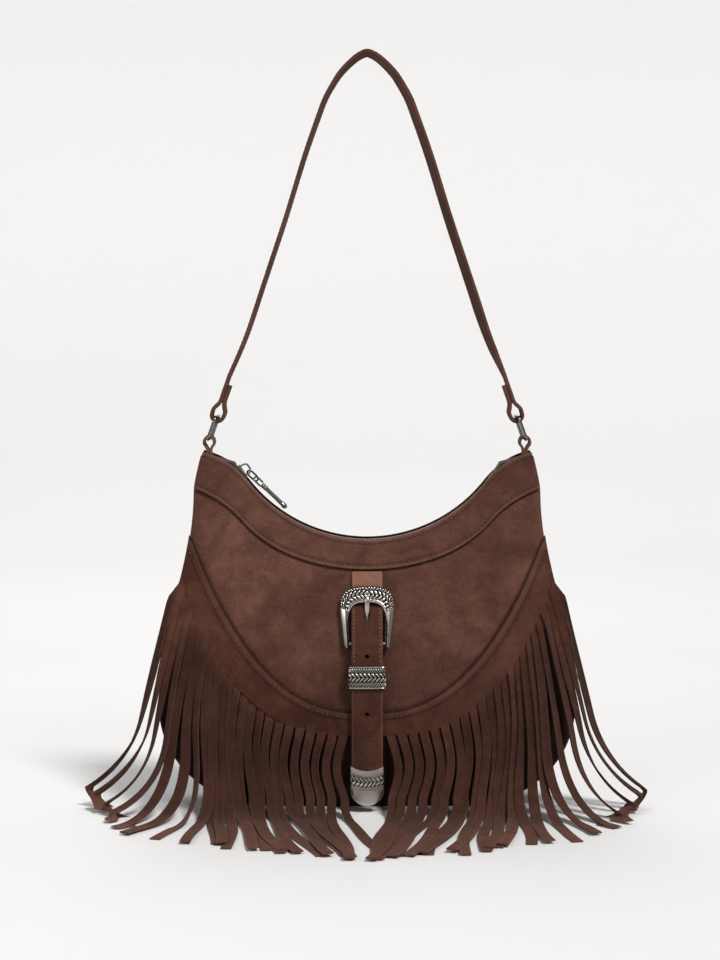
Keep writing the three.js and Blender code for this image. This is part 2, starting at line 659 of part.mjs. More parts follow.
// Buckle: its axes are across, up the sloping front and out of it. The bar is at their origin.
const BAR_HEIGHT = 124.6;
const BAR_STANDOFF = 4.81; // from the panel to the bar's middle
const LEAN_HEIGHT = 15; // above the bar, where the panel's slope is the buckle's
const BAR_RADIUS = 1.3;
const BUCKLE_THICKNESS = 3.4;
const BILLET_HALF_WIDTH = 11.5;
const BILLET_THICKNESS = 2.2;
const BILLET_GAP = 2.6; // between the fringe and the straight lower part
const BILLET_BEND = 12.6; // below the bar, where the straight part starts
const BILLET_TOP_GAP = 0.66; // under the band
const PRONG_THICKNESS = 2.2;
const PRONG_HALF_WIDTH = 1.4;
const PRONG_REST = [34.2, 3.25];
const PRONG_HOLE_AT = 19;
const PRONG_HOLE_LENGTH = 15.5;
const PRONG_HOLE_WIDTH = 4.2;
const SPARE_HOLES = [8.2, 51.1]; // below the bar
const HOLE_RADIUS = 2;

const barDepth = depthAt(0, BAR_HEIGHT) + BAR_STANDOFF;
const fringeDepth = BELLY_HALF_DEPTH + FRINGE_GAP + FRINGE_THICKNESS;
const billetDepth = fringeDepth + BILLET_GAP + BILLET_THICKNESS / 2;
const leanLow = depthAt(0, BAR_HEIGHT + LEAN_HEIGHT - 0.5);
const leanHigh = depthAt(0, BAR_HEIGHT + LEAN_HEIGHT + 0.5);
const slope = Math.atan(leanLow - leanHigh);
const bar = new THREE.Vector3(0, -barDepth, BAR_HEIGHT);
const upSlope = new THREE.Vector3(0, Math.sin(slope), Math.cos(slope));
const outSlope = new THREE.Vector3(0, -Math.cos(slope), Math.sin(slope));
const onBuckle = (geometry) => placed(geometry, bar, xAxis, upSlope, outSlope);

// Half outlines of the frame, from the leg's lower end round the arch to the middle
const FRAME_OUTER = [
  [16.3, -4.4], [17.1, 0], [18.7, 13], [20, 24], [20.1, 30], [18.6, 36.5], [15.4, 40], [11, 41.8], [5, 42.8],
  [1.5, 42.9],
];
const FRAME_INNER = [
  [13, -4.4], [13.1, 0], [13.3, 12], [13.2, 19], [12.7, 24.5], [11.4, 27.6], [8.2, 29.6], [4.5, 30.4],
  [1.5, 30.6],
];

function buckleFrame() {
  const right = [...FRAME_OUTER, ...FRAME_OUTER.slice().reverse().map(([x, y]) => [-x, y])];
  const inner = [...FRAME_INNER.slice().map(([x, y]) => [-x, y]), ...FRAME_INNER.slice().reverse()];
  const arch = solid(plateFrom([...right, ...inner], [], BUCKLE_THICKNESS));
  const rod = new THREE.CylinderGeometry(BAR_RADIUS, BAR_RADIUS, 29, 14).rotateZ(Math.PI / 2);
  return geometryOf(arch.add(solid(rod)));
}
add("buckle_frame", onBuckle(buckleFrame()), agedSilver);

function prong() {
  const sleeve = plateFrom(circlePoints(BAR_RADIUS + 1.9, 16), [], 2 * PRONG_HALF_WIDTH + 1);
  const bore = plateFrom(circlePoints(BAR_RADIUS + 0.35, 16), [], 9);
  const t = PRONG_THICKNESS / 2;
  const [b, c] = PRONG_REST;
  const finger = [
    [2.2, -1.6], [8, -t + 0.5], [b - 3, c - t], [b, c - t + 0.4], [b + 0.5, c],
    [b, c + t - 0.3], [b - 4, c + t],
    [8, t + 0.7], [2.2, 1.9],
  ];
  const fingerSolid = solid(plateFrom(finger, [], 2 * PRONG_HALF_WIDTH));
  const made = geometryOf(solid(sleeve).add(fingerSolid).subtract(solid(bore)));
  return placed(made, bar, upSlope, outSlope, xAxis);
}
add("buckle_prong", prong(), agedSilver);

// A strip across the bag, swept along a line of depths and heights
function crossStrip(line, halfWidth, thickness) {
  const h = thickness / 2;
  const rings = line.map(([y, z], i) => {
    const before = line[Math.max(i - 1, 0)];
    const after = line[Math.min(i + 1, line.length - 1)];
    const along = new THREE.Vector2(after[0] - before[0], after[1] - before[1]).normalize();
    const n = [-along.y * h, along.x * h];
    const corner = (x, s) => new THREE.Vector3(x, y + s * n[0], z + s * n[1]);
    return [corner(-halfWidth, 1), corner(halfWidth, 1), corner(halfWidth, -1), corner(-halfWidth, -1)];
  });
  return solid(ringSolid(rings));
}
const fromBuckle = (b, c) => [
  -barDepth + b * upSlope.y + c * outSlope.y,
  BAR_HEIGHT + b * upSlope.z + c * outSlope.z,
];

// Metal tip of the billet
const TIP_HALF_WIDTH = 12.6;
const TIP_TOP = 35.4;
const TIP_FOOT = 5;
const TIP_DIP = 4; // of the upper edge at its middle
const TIP_WALL = 1.3;
const TIP_GAP = 0.35;

function tongueOutline(halfWidth, foot, top, dip) {
  const points = [];
  for (let k = 0; k <= 12; k++) {
    const a = Math.PI + (Math.PI * k) / 12;
    points.push([halfWidth * Math.cos(a), foot + halfWidth + halfWidth * Math.sin(a)]);
  }
  points.push([halfWidth, top], [halfWidth * 0.5, top - dip * 0.75], [0, top - dip]);
  points.push([-halfWidth * 0.5, top - dip * 0.75], [-halfWidth, top]);
  return points;
}

const billetSpan = (MOUTH_LOW - BAND_HEIGHT - BILLET_TOP_GAP - BAR_HEIGHT) / upSlope.z;
const BILLET_LINE = [
  fromBuckle(billetSpan, -3.3), fromBuckle(42, -3.1), fromBuckle(27, -3.1), fromBuckle(23.5, -1.6),
  fromBuckle(19, 1.4), fromBuckle(12, 4.4), fromBuckle(4, 5.3), fromBuckle(-5, 5.5),
  [-billetDepth, BAR_HEIGHT - BILLET_BEND], [-billetDepth, TIP_FOOT + 55], [-billetDepth, TIP_FOOT],
];
const uprightPlate = (outline, thickness, depth) =>
  placed(plateFrom(outline, [], thickness), new THREE.Vector3(0, -depth, 0), xAxis, zAxis, forward);

function billet() {
  const foot = TIP_FOOT + TIP_WALL + TIP_GAP;
  const envelope = uprightPlate(tongueOutline(BILLET_HALF_WIDTH, foot, 300, 0), 120, billetDepth);
  let made = crossStrip(BILLET_LINE, BILLET_HALF_WIDTH, BILLET_THICKNESS).intersect(solid(envelope));
  for (const fall of SPARE_HOLES) {
    const hole = circlePoints(HOLE_RADIUS, 14, 0, BAR_HEIGHT - fall);
    made = made.subtract(solid(uprightPlate(hole, 20, billetDepth)));
  }
  const slot = new THREE.BoxGeometry(PRONG_HOLE_WIDTH, PRONG_HOLE_LENGTH, 24);
  slot.translate(0, PRONG_HOLE_AT, 0);
  return made.subtract(solid(onBuckle(slot)));
}
add("billet_strap", billet(), strapLeather);

function strapTip() {
  const outer = uprightPlate(
    tongueOutline(TIP_HALF_WIDTH, TIP_FOOT, TIP_TOP, TIP_DIP),
    BILLET_THICKNESS + 2 * (TIP_GAP + TIP_WALL),
    billetDepth,
  );
  const pocketHalf = BILLET_HALF_WIDTH + TIP_GAP;
  const foot = TIP_FOOT + TIP_WALL;
  const pocket = uprightPlate(
    tongueOutline(pocketHalf, foot, TIP_TOP + 5, 0),
    BILLET_THICKNESS + 2 * TIP_GAP,
    billetDepth,
  );
  return solid(outer).subtract(solid(pocket));
}
add("strap_tip", strapTip(), agedSilver);

// Keeper: a closed metal loop that slides on the straight part of the billet
const KEEPER_FALL = 32; // from the bar down to the keeper's foot
const KEEPER_HEIGHT = 16.8;
const KEEPER_WALL = 1.3;
const KEEPER_GAP = 0.4;
function keeper() {
  const halfWidth = BILLET_HALF_WIDTH + KEEPER_GAP + KEEPER_WALL + 0.4;
  const halfDepth = BILLET_THICKNESS / 2 + KEEPER_GAP;
  const wall = KEEPER_WALL;
  const outline = roundedRectangle(halfWidth, halfDepth + wall, 1.6, 3);
  const hole = roundedRectangle(BILLET_HALF_WIDTH + KEEPER_GAP, halfDepth, 0.5, 1);
  const band = plateFrom(outline, [hole], KEEPER_HEIGHT);
  const middle = new THREE.Vector3(0, -billetDepth, (BAR_HEIGHT - KEEPER_FALL) + KEEPER_HEIGHT / 2);
  return placed(band, middle, xAxis, forward.clone().negate(), zAxis);
}
add("strap_keeper", keeper(), agedSilver);

// Chape: the short doubled strap that holds the buckle's bar, slit for the prong
const CHAPE_HALF_WIDTH = 11;
const CHAPE_LENGTH = 13.5;
const CHAPE_SLIT = 4.6;
function chape() {
  const inner = BAR_RADIUS + 0.35;
  const outer = inner + 1.5;
  const disc = solid(plateFrom(circlePoints(outer, 18), [], 2 * CHAPE_HALF_WIDTH));
  const tailOutline = [[0, -outer], [0, 0.2], [-CHAPE_LENGTH, -1.2], [-CHAPE_LENGTH, -4.1]];
  const tail = plateFrom(tailOutline, [], 2 * CHAPE_HALF_WIDTH);
  const hole = solid(plateFrom(circlePoints(inner, 18), [], 60));
  const slit = new THREE.BoxGeometry(13, 12, CHAPE_SLIT).translate(1, 0, 0);
  const made = disc.add(solid(tail)).subtract(hole).subtract(solid(slit));
  return placed(geometryOf(made), bar, upSlope, outSlope, xAxis);
}
add("buckle_chape", chape(), strapLeather);

// Fringe
const seamHeight = (x) => SEAM_LOW + SEAM_RISE * Math.abs(x) ** SEAM_POWER;
const cutHeight = (x) => CUT_LOW + CUT_RISE * Math.abs(x) ** CUT_POWER;
const FRINGE_LIFT = FRINGE_GAP + FRINGE_THICKNESS / 2;

function fringeSheet() {
  const point = (s, t, offset) => {
    const u = 2 * s - 1;
    const top = [u * SEAM_HALF_WIDTH, seamHeight(u * SEAM_HALF_WIDTH)];
    const low = [u * CUT_HALF_WIDTH, cutHeight(u * CUT_HALF_WIDTH)];
    const x = low[0] + (top[0] - low[0]) * t;
    const z = low[1] + (top[1] - low[1]) * t;
    return [x, -(depthAt(x, z) + offset), z];
  };
  const outer = FRINGE_GAP + FRINGE_THICKNESS;
  return solid(gridSolid(30, 4, (s, t) => point(s, t, outer), (s, t) => point(s, t, FRINGE_GAP)));
}

// Where each strip starts on the cut curve, evenly spaced along it
function stripRoots() {
  const curve = [];
  const lastX = CUT_HALF_WIDTH - STRIP_WIDTH * 0.2;
  for (let x = STRIP_FIRST_X; x <= lastX; x += 0.25) curve.push([x, cutHeight(x)]);
  const lengths = [0];
  for (let i = 1; i < curve.length; i++)
    lengths.push(lengths[i - 1] + Math.hypot(curve[i][0] - curve[i - 1][0], curve[i][1] - curve[i - 1][1]));
  const total = lengths[lengths.length - 1];
  const roots = [];
  for (let k = 0; k < STRIPS_PER_SIDE; k++) {
    const i = lengths.findIndex((l) => l >= (total * k) / (STRIPS_PER_SIDE - 1) - 1e-6);
    roots.push(curve[i]);
  }
  return roots;
}

// A strip runs down from its root, bends on a radius and lies on the floor; its width turns with it.
function strip(root, k, side) {
  const f = k / (STRIPS_PER_SIDE - 1);
  const mix = (a, b) => a + (b - a) * f;
  const fade = Math.exp(-(STRIPS_PER_SIDE - 1 - k) / SPLAY_FADE);
  const bearing = rad(SPLAY_INWARD + (SPLAY_SIDE - SPLAY_INWARD) * fade);
  const hang = rad(mix(HANG_ANGLE_MIDDLE, HANG_ANGLE_SIDE));
  const radius = mix(BEND_RADIUS_MIDDLE, BEND_RADIUS_SIDE);
  const length = mix(STRIP_LENGTH_MIDDLE, STRIP_LENGTH_SIDE);
  const rest = FRINGE_THICKNESS / 2 + (k % 2) * 0.9;
  const [x0, z0] = root;
  const y0 = depthAt(x0, z0) + FRINGE_LIFT;
  const drop = radius * (1 - Math.sin(hang));
  const straight = Math.max(z0 - rest - drop, 0) / Math.cos(hang);
  const arc = radius * (Math.PI / 2 - hang);
  const flat = Math.max(length - straight - arc, 12);
  const total = straight + arc + flat;
  const station = (s) => {
    if (s <= straight) return [s * Math.sin(hang), z0 - s * Math.cos(hang), hang];
    const a = Math.min(hang + (s - straight) / radius, Math.PI / 2);
    const reach = straight * Math.sin(hang) + radius * (Math.cos(hang) - Math.cos(a));
    const fall = z0 - straight * Math.cos(hang) - radius * (Math.sin(a) - Math.sin(hang));
    return [reach + Math.max(s - straight - arc, 0), Math.max(fall, rest), a];
  };
  const rings = [];
  for (let j = -1; j <= STRIP_STEPS; j++) {
    const s = j < 0 ? -STRIP_ROOT : (total * j) / STRIP_STEPS;
    const [reach, height, angle] = station(s);
    const turn = bearing * Math.min(Math.max(s / (0.7 * total), 0), 1);
    const across = new THREE.Vector3(Math.cos(turn), Math.sin(turn), 0);
    const along = new THREE.Vector3(
      Math.sin(bearing) * Math.sin(angle),
      -Math.cos(bearing) * Math.sin(angle),
      -Math.cos(angle),
    );
    across.addScaledVector(along, -across.dot(along)).normalize();
    const normal = new THREE.Vector3().crossVectors(across, along).normalize();
    const centre = new THREE.Vector3(
      x0 + (bearing < 0 ? Math.max(reach - DRIFT_START, 0) : reach) * Math.sin(bearing),
      -(y0 + reach * Math.cos(bearing)),
      height,
    );
    const corner = (a, b) => {
      const p = centre.clone();
      p.addScaledVector(across, (a * STRIP_WIDTH) / 2).addScaledVector(normal, (b * FRINGE_THICKNESS) / 2);
      if (Math.abs(p.x) < halfWidth(p.z) + 3) {
        const clear = depthAt(p.x, p.z) + FRINGE_LIFT - (b * FRINGE_THICKNESS) / 2;
        p.y = -Math.max(-p.y, clear);
      }
      p.z = Math.max(p.z, 0);
      p.x *= side;
      return p;
    };
    rings.push([corner(-1, 1), corner(1, 1), corner(1, -1), corner(-1, -1)]);
  }
  return solid(ringSolid(rings));
}

function fringe() {
  const pieces = [fringeSheet()];
  const roots = stripRoots();
  for (const side of [-1, 1]) roots.forEach((root, k) => pieces.push(strip(root, k, side)));
  const kept = wasm.Manifold.union(pieces).subtract(bodyClearance());
  return kept.decompose().reduce((a, b) => (a.volume() > b.volume() ? a : b));
}

// The body as one block, a layer's gap larger than the front panel and the gusset
function bodyClearance() {
  const grow = LAYER_GAP + 0.1;
  const point = (s, t, facing) => {
    const u = 2 * s - 1;
    const v = panelTop(u) * t;
    const [x, z] = faceXZ(u, v);
    return [x * (1 + grow / BELLY_HALF_WIDTH), facing * (faceDepth(u, v) + grow), t === 0 ? -1 : z];
  };
  return solid(gridSolid(20, 9, (s, t) => point(s, t, -1), (s, t) => point(s, t, 1)));
}
add("fringe", fringe(), suede);

export default bag;
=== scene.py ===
import math

import bpy
import numpy as np
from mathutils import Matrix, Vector


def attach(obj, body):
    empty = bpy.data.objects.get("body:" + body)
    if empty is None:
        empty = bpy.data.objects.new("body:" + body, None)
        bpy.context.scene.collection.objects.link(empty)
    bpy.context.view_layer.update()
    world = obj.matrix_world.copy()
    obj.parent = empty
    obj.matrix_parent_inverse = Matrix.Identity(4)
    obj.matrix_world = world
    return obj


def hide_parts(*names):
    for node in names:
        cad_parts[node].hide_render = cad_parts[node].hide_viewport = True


bl_info = {
    "name": "Fringed suede bag",
    "version": (1, 0, 0),
    "blender": (4, 5, 0),
    "location": "View3D > Sidebar > Bag",
    "description": "Suede, metal and stitching for a fringed shoulder bag",
    "category": "Object",
}

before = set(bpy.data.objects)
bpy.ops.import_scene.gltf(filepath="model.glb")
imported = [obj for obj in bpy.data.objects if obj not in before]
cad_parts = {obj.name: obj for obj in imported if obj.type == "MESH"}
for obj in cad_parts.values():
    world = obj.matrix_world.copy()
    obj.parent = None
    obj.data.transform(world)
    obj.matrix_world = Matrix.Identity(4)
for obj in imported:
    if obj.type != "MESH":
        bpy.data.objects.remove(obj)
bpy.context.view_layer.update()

# Sizes in millimetres, the same as the solids'
BASE_X, BELLY_X, NECK_X, CORNER_X = 75.0, 155.0, 129.0, 122.6
BELLY_Z, NECK_Z, CORNER_Z = 75.0, 235.0, 264.5
MOUTH_R, MOUTH_LOW, ARC_X = 112.0, 199.0, 88.0
ARC_Z = MOUTH_LOW + MOUTH_R
MOUTH_DEPTH, BELLY_DEPTH, SIDE_DEPTH, BASE_DEPTH, BASE_SIDE_DEPTH = 8.6, 43.0, 31.0, 28.0, 26.0
PANEL, GUSSET, FRINGE, STRAP, STRAP_X, TAB_X = 1.7, 1.6, 1.3, 3.0, 7.5, 7.0
BAR_Y, BAR_Z, BUCKLE_SLOPE = -39.0, 124.6, math.radians(16.9)
BILLET_Y, BILLET_X, BILLET_T = -48.6, 11.5, 2.2
HOLES_Z, HOLE_R = (116.4, 73.5), 1.6
BAR_WIRE, KEEPER_FOOT, KEEPER_HEIGHT = 1.3, 92.6, 16.8
TIP_FOOT, TIP_TOP, TIP_X = 5.0, 35.4, 12.6
RING_FOOT, RING_HEAD, RING_X, RING_WIRE = (118.0, 273.7), (112.0, 290.3), 9.5, 1.2
RING_CORNER, RING_TURN = 3.0, math.radians(6)
SEAM_X, CUT_X, STRIPS, SEED = 134.4, 144.6, 23, 11
BELLY_SHARE = 0.3
X_AXIS, Y_AXIS = np.array([1.0, 0.0, 0.0]), np.array([0.0, 1.0, 0.0])


# Short formulas

def clamp(t):
    return np.clip(t, 0, 1)


def bell(t):
    """A bell curve: 1 at t = 0 and next to nothing beyond 2."""
    return np.exp(-t ** 2)


def dome(t):
    """A half circle's height over t from -1 to 1, and 0 beyond."""
    return np.sqrt(clamp(1 - t ** 2))


# The bag's form

def half_width(z):
    """Half the bag's width at a height: an ellipse quarter, half a cosine wave, then a power curve."""
    z = np.asarray(z, float)
    below = clamp((BELLY_Z - z) / BELLY_Z)
    low = BASE_X + (BELLY_X - BASE_X) * np.sqrt(1 - below ** 2)
    t = clamp((z - BELLY_Z) / (NECK_Z - BELLY_Z))
    middle = NECK_X + (BELLY_X - NECK_X) * (1 + np.cos(np.pi * t)) / 2
    t = clamp((z - NECK_Z) / (CORNER_Z - NECK_Z))
    top = NECK_X - (NECK_X - CORNER_X) * t ** 1.3
    return np.where(z < BELLY_Z, low, np.where(z < NECK_Z, middle, top))


def mouth_height(x):
    """Height of the mouth's edge: a circle's lower arc, then a cubic with set end slopes to the corner."""
    a = np.minimum(np.abs(x), CORNER_X)
    arc = ARC_Z - np.sqrt(MOUTH_R ** 2 - np.minimum(a, ARC_X) ** 2)
    span = CORNER_X - ARC_X
    t = clamp((a - ARC_X) / span)
    slope = ARC_X / math.sqrt(MOUTH_R ** 2 - ARC_X ** 2)
    start = ARC_Z - math.sqrt(MOUTH_R ** 2 - ARC_X ** 2)
    cubic = ((2 * t ** 3 - 3 * t ** 2 + 1) * start + (t ** 3 - 2 * t ** 2 + t) * span * slope
             + (3 * t ** 2 - 2 * t ** 3) * CORNER_Z + (t ** 3 - t ** 2) * span * 0.25)
    return np.where(a <= ARC_X, arc, cubic)


def rise(v, belly, base):
    """Half-depth up the height: a parabola below the belly level and a sine above it."""
    low = belly - (belly - base) * (clamp(BELLY_SHARE - v) / BELLY_SHARE) ** 2
    t = clamp((1 - v) / (1 - BELLY_SHARE))
    return np.where(v < BELLY_SHARE, low, MOUTH_DEPTH + (belly - MOUTH_DEPTH) * np.sin(np.pi / 2 * t))


def slack(u, v):
    """Soft dents of the hide: a few broad sine waves that die away at the edges and round the buckle."""
    calm = (1 - bell(u / 0.26)) * clamp(1 - np.abs(u) ** 6) * np.sin(np.pi * clamp(v)) ** 0.7
    wave = (1.1 * np.sin(5.1 * u + 3.2 * v + 0.6) * np.sin(4.3 * v + 0.4) + 0.8 * np.sin(9.7 * u - 6.1 * v + 1.9)
            + 0.5 * np.sin(14 * v + 5 * np.sin(3 * u)) + 0.35 * np.sin(23 * u * v + 4 * v))
    return calm * wave - calm * 0.9


def depth_uv(u, v):
    """Half-depth of the outer face: the side's profile plus what a power curve leaves of the middle's."""
    middle = rise(v, BELLY_DEPTH, BASE_DEPTH)
    side = rise(v, SIDE_DEPTH, BASE_SIDE_DEPTH)
    return side + (middle - side) * (1 - np.minimum(np.abs(u), 1) ** 2.4)


def face_uv(x, z):
    """The place on the face of a front point, by repeated substitution."""
    x, z = np.broadcast_arrays(np.asarray(x, float), np.asarray(z, float))
    u, v = x / BELLY_X, z / CORNER_Z
    for _ in range(24):
        v = clamp(z / mouth_height(u * CORNER_X))
        u = np.clip(x / half_width(v * CORNER_Z), -1, 1)
    return u, v


def plan(u, v):
    """Where a place on the face lies in the front view."""
    return u * half_width(v * CORNER_Z), v * mouth_height(u * CORNER_X)


def depth_at(x, z):
    u, v = face_uv(x, z)
    return depth_uv(u, v) + slack(u, v)


def band_height(x):
    return 21.5 + 7 * np.sin(np.pi * (x / 142.0) ** 2)


def seam_z(x):
    return 73.5 + 6.4e-4 * np.abs(x) ** 2.5


def seam_steep(x):
    """Length along the seam for each millimetre across."""
    return np.sqrt(1 + (1.6e-3 * np.abs(x) ** 1.5) ** 2)


def cut_z(x):
    return 58 + 3.97e-5 * np.abs(x) ** 3


# Meshes from arrays

def make_object(name, shape, finish, body, nodes=(), attributes=None, sharp=60):
    """One closed piece from points in millimetres and arrays of faces, turned outwards by their volume.

    An attribute is one number for each point, or one number for all of them.
    """
    points, faces = shape
    corners = np.concatenate([f.reshape(-1) for f in faces])
    counts = np.concatenate([np.full(len(f), f.shape[1]) for f in faces])
    volume = 0.0
    for f in faces:
        for k in range(1, f.shape[1] - 1):
            a, b, c = points[f[:, 0]], points[f[:, k]], points[f[:, k + 1]]
            volume += float(np.einsum("ij,ij->i", a, np.cross(b, c)).sum())
    if volume < 0:
        corners = np.concatenate([f[:, ::-1].reshape(-1) for f in faces])
    mesh = bpy.data.meshes.new(name)
    mesh.vertices.add(len(points))
    mesh.vertices.foreach_set("co", (points * 0.001).astype(np.float32).ravel())
    mesh.loops.add(len(corners))
    mesh.loops.foreach_set("vertex_index", corners.astype(np.int32))
    mesh.polygons.add(len(counts))
    mesh.polygons.foreach_set("loop_start", np.concatenate([[0], np.cumsum(counts)[:-1]]).astype(np.int32))
    mesh.polygons.foreach_set("loop_total", counts.astype(np.int32))
    mesh.polygons.foreach_set("use_smooth", np.ones(len(counts), bool))
    for key, values in (attributes or {}).items():
        layer = mesh.attributes.new(key, "FLOAT", "POINT")
        layer.data.foreach_set("value", np.resize(np.asarray(values, np.float32), len(points)))
    mesh.update(calc_edges=True)
    mesh.validate()
    mesh.set_sharp_from_angle(angle=math.radians(sharp))
    mesh.materials.append(FINISH[finish])
    piece = bpy.data.objects.new(name, mesh)
    bpy.context.scene.collection.objects.link(piece)
    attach(piece, body)
    if nodes:
        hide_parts(*nodes)
    return piece


def grid_quads(rows, columns, start=0, wrap=False):
    """Corner numbers of a rows by columns grid's faces; wrap joins the last column to the first."""
    i, j = np.meshgrid(np.arange(rows - 1), np.arange(columns if wrap else columns - 1), indexing="ij")
    i, j = i.ravel(), j.ravel()
    k = (j + 1) % columns
    return start + np.stack([i * columns + j, i * columns + k, (i + 1) * columns + k, (i + 1) * columns + j], 1)


def loft(sections, closed=False):
    """Skin over closed sections (sections by corners by 3): the ends are capped, or joined if it is closed."""
    count, n = sections.shape[:2]
    points = sections.reshape(-1, 3)
    faces = [grid_quads(count, n, wrap=True)]
    if closed:
        j = np.arange(n)
        last = (count - 1) * n
        faces.append(np.stack([last + j, last + (j + 1) % n, (j + 1) % n, j], 1))
    else:
        faces.append(np.arange(n)[None, ::-1])
        faces.append(np.arange((count - 1) * n, count * n)[None, :])
    return points, faces


def shell(front, back):
    """Two facing grids closed round their rim by one row of faces."""
    rows, columns = front.shape[:2]
    size = rows * columns
    points = np.concatenate([front.reshape(-1, 3), back.reshape(-1, 3)])
    faces = [grid_quads(rows, columns), grid_quads(rows, columns, size)[:, ::-1]]
    edge = np.concatenate([np.arange(columns), np.arange(1, rows) * columns + columns - 1,
                           (rows - 1) * columns + np.arange(columns - 2, -1, -1),
                           np.arange(rows - 2, 0, -1) * columns])
    after = np.roll(edge, -1)
    faces.append(np.stack([after, edge, edge + size, after + size], 1))
    return points, faces


def merge(parts):
    """Several meshes as one: each part's corner numbers move up by the points before it."""
    points, faces, start = [], [], 0
    for part_points, part_faces in parts:
        points.append(part_points)
        faces += [f + start for f in part_faces]
        start += len(part_points)
    return np.concatenate(points), faces


def smooth_path(points, count):
    """A cubic through every point, taken at even distances along it."""
    p = np.asarray(points, float)
    p = np.concatenate([2 * p[:1] - p[1:2], p, 2 * p[-1:] - p[-2:-1]])
    t = np.linspace(0, 1, 24, endpoint=False)[None, :, None]
    a, b, c, d = (p[k:len(p) - 3 + k, None, :] for k in range(4))
    curve = 0.5 * (2 * b + (c - a) * t + (2 * a - 5 * b + 4 * c - d) * t ** 2 + (3 * b - a - 3 * c + d) * t ** 3)
    curve = np.concatenate([curve.reshape(-1, p.shape[1]), p[-2:-1]])
    return even(curve, count)


def even(curve, count):
    """A polyline sampled again at even distances."""
    along = np.concatenate([[0], np.cumsum(np.linalg.norm(np.diff(curve, axis=0), axis=1))])
    at = np.linspace(0, along[-1], count)
    return np.stack([np.interp(at, along, curve[:, k]) for k in range(curve.shape[1])], 1)


def unit(v):
    return v / np.maximum(np.linalg.norm(v, axis=-1, keepdims=True), 1e-9)


def tangents(path):
    return unit(np.gradient(path, axis=0))


def strip_section(half_x, half_t, bead=0.0, n=5):
    """A strip's cross-section: straight faces and half-round edges, with a slight bead along them if asked."""
    a = np.linspace(-np.pi / 2, np.pi / 2, n)
    right = np.stack([half_x - half_t + half_t * np.cos(a), half_t * np.sin(a)], 1)
    xs = np.linspace(half_x - half_t - 0.4, -(half_x - half_t) + 0.4, 9)
    rim = half_t * (1 + bead * bell((half_x - half_t - np.abs(xs)) / 1.1 - 1)) - bead * 0.45 * half_t
    top = np.stack([xs, rim], 1)
    left = -right
    return np.concatenate([right, top, left, -top])


def sweep(path, across, section, closed=False):
    """Carries a cross-section along a path: its first number goes across, its second along the normal."""
    along = tangents(path) if not closed else unit(np.roll(path, -1, 0) - np.roll(path, 1, 0))
    across = unit(across - along * np.sum(across * along, axis=1, keepdims=True))
    normal = np.cross(across, along)
    if section.ndim == 2:
        section = np.broadcast_to(section, (len(path),) + section.shape)
    rings = (path[:, None] + across[:, None] * section[..., :1] + normal[:, None] * section[..., 1:])
    return loft(rings, closed)


def circle(radius, n):
    a = 2 * np.pi * np.arange(n) / n
    return radius * np.stack([np.cos(a), np.sin(a)], 1)


def sew(name, rows, finish, body):
    """Rows of stitches as one piece of thread."""
    make_object(name, merge(rows), finish, body, sharp=38)


def stitches(path, normals, pitch=3.7, length=2.7, radius=0.36, lift=0.12):
    """Thread along a line: one small spindle every pitch, its ends sunk into the hide."""
    along = np.concatenate([[0], np.cumsum(np.linalg.norm(np.diff(path, axis=0), axis=1))])
    middle = np.arange(pitch / 2, along[-1], pitch)
    normals = np.broadcast_to(normals, path.shape)
    at = lambda array, s: np.stack([np.interp(s, along, array[:, k]) for k in range(3)], 1)
    centre = at(path, middle)
    run = unit(at(path, middle + 0.5) - at(path, middle - 0.5))
    up = unit(at(normals, middle))
    side = np.cross(run, up)
    n = 6
    t = np.linspace(-1, 1, n)
    a = 2 * np.pi * np.arange(n) / n
    swell = np.sqrt(clamp(1.02 - t ** 2)) * 0.85 + 0.12
    spindle = np.stack([np.repeat(t * length / 2, n), np.outer(swell, np.cos(a)).ravel() * radius,
                        np.outer(swell, np.sin(a)).ravel() * radius + np.repeat(lift - 0.45 * t ** 4, n)], 1)
    points = (centre[:, None] + run[:, None] * spindle[None, :, :1] + side[:, None] * spindle[None, :, 1:2]
              + up[:, None] * spindle[None, :, 2:])
    quads = grid_quads(n, n, wrap=True)
    caps = np.stack([np.arange(n)[::-1], np.arange(n * n - n, n * n)])
    offset = n * n * np.arange(len(middle))[:, None, None]
    return points.reshape(-1, 3), [(quads[None] + offset).reshape(-1, 4), (caps[None] + offset).reshape(-1, n)]


# Materials

def math_method(operation, swap=False):
    """A method of Flow that adds one Math node; swap puts the other number first."""
    return lambda self, other: self.math(operation, other, swap)


class Flow:
    """A number that runs through a material: sums on it add Math nodes."""

    def __init__(self, tree, socket):
        self.tree, self.socket = tree, socket

    def math(self, operation, other, swap):
        pair = [other, self] if swap else [self, other]
        return self.tree.node("ShaderNodeMath", {"operation": operation}, dict(enumerate(pair)))

    __add__ = __radd__ = math_method("ADD")
    __mul__ = __rmul__ = math_method("MULTIPLY")
    __sub__, __rsub__ = math_method("SUBTRACT"), math_method("SUBTRACT", True)

    def clip(self):
        return self.tree.node("ShaderNodeClamp", {}, {0: self})


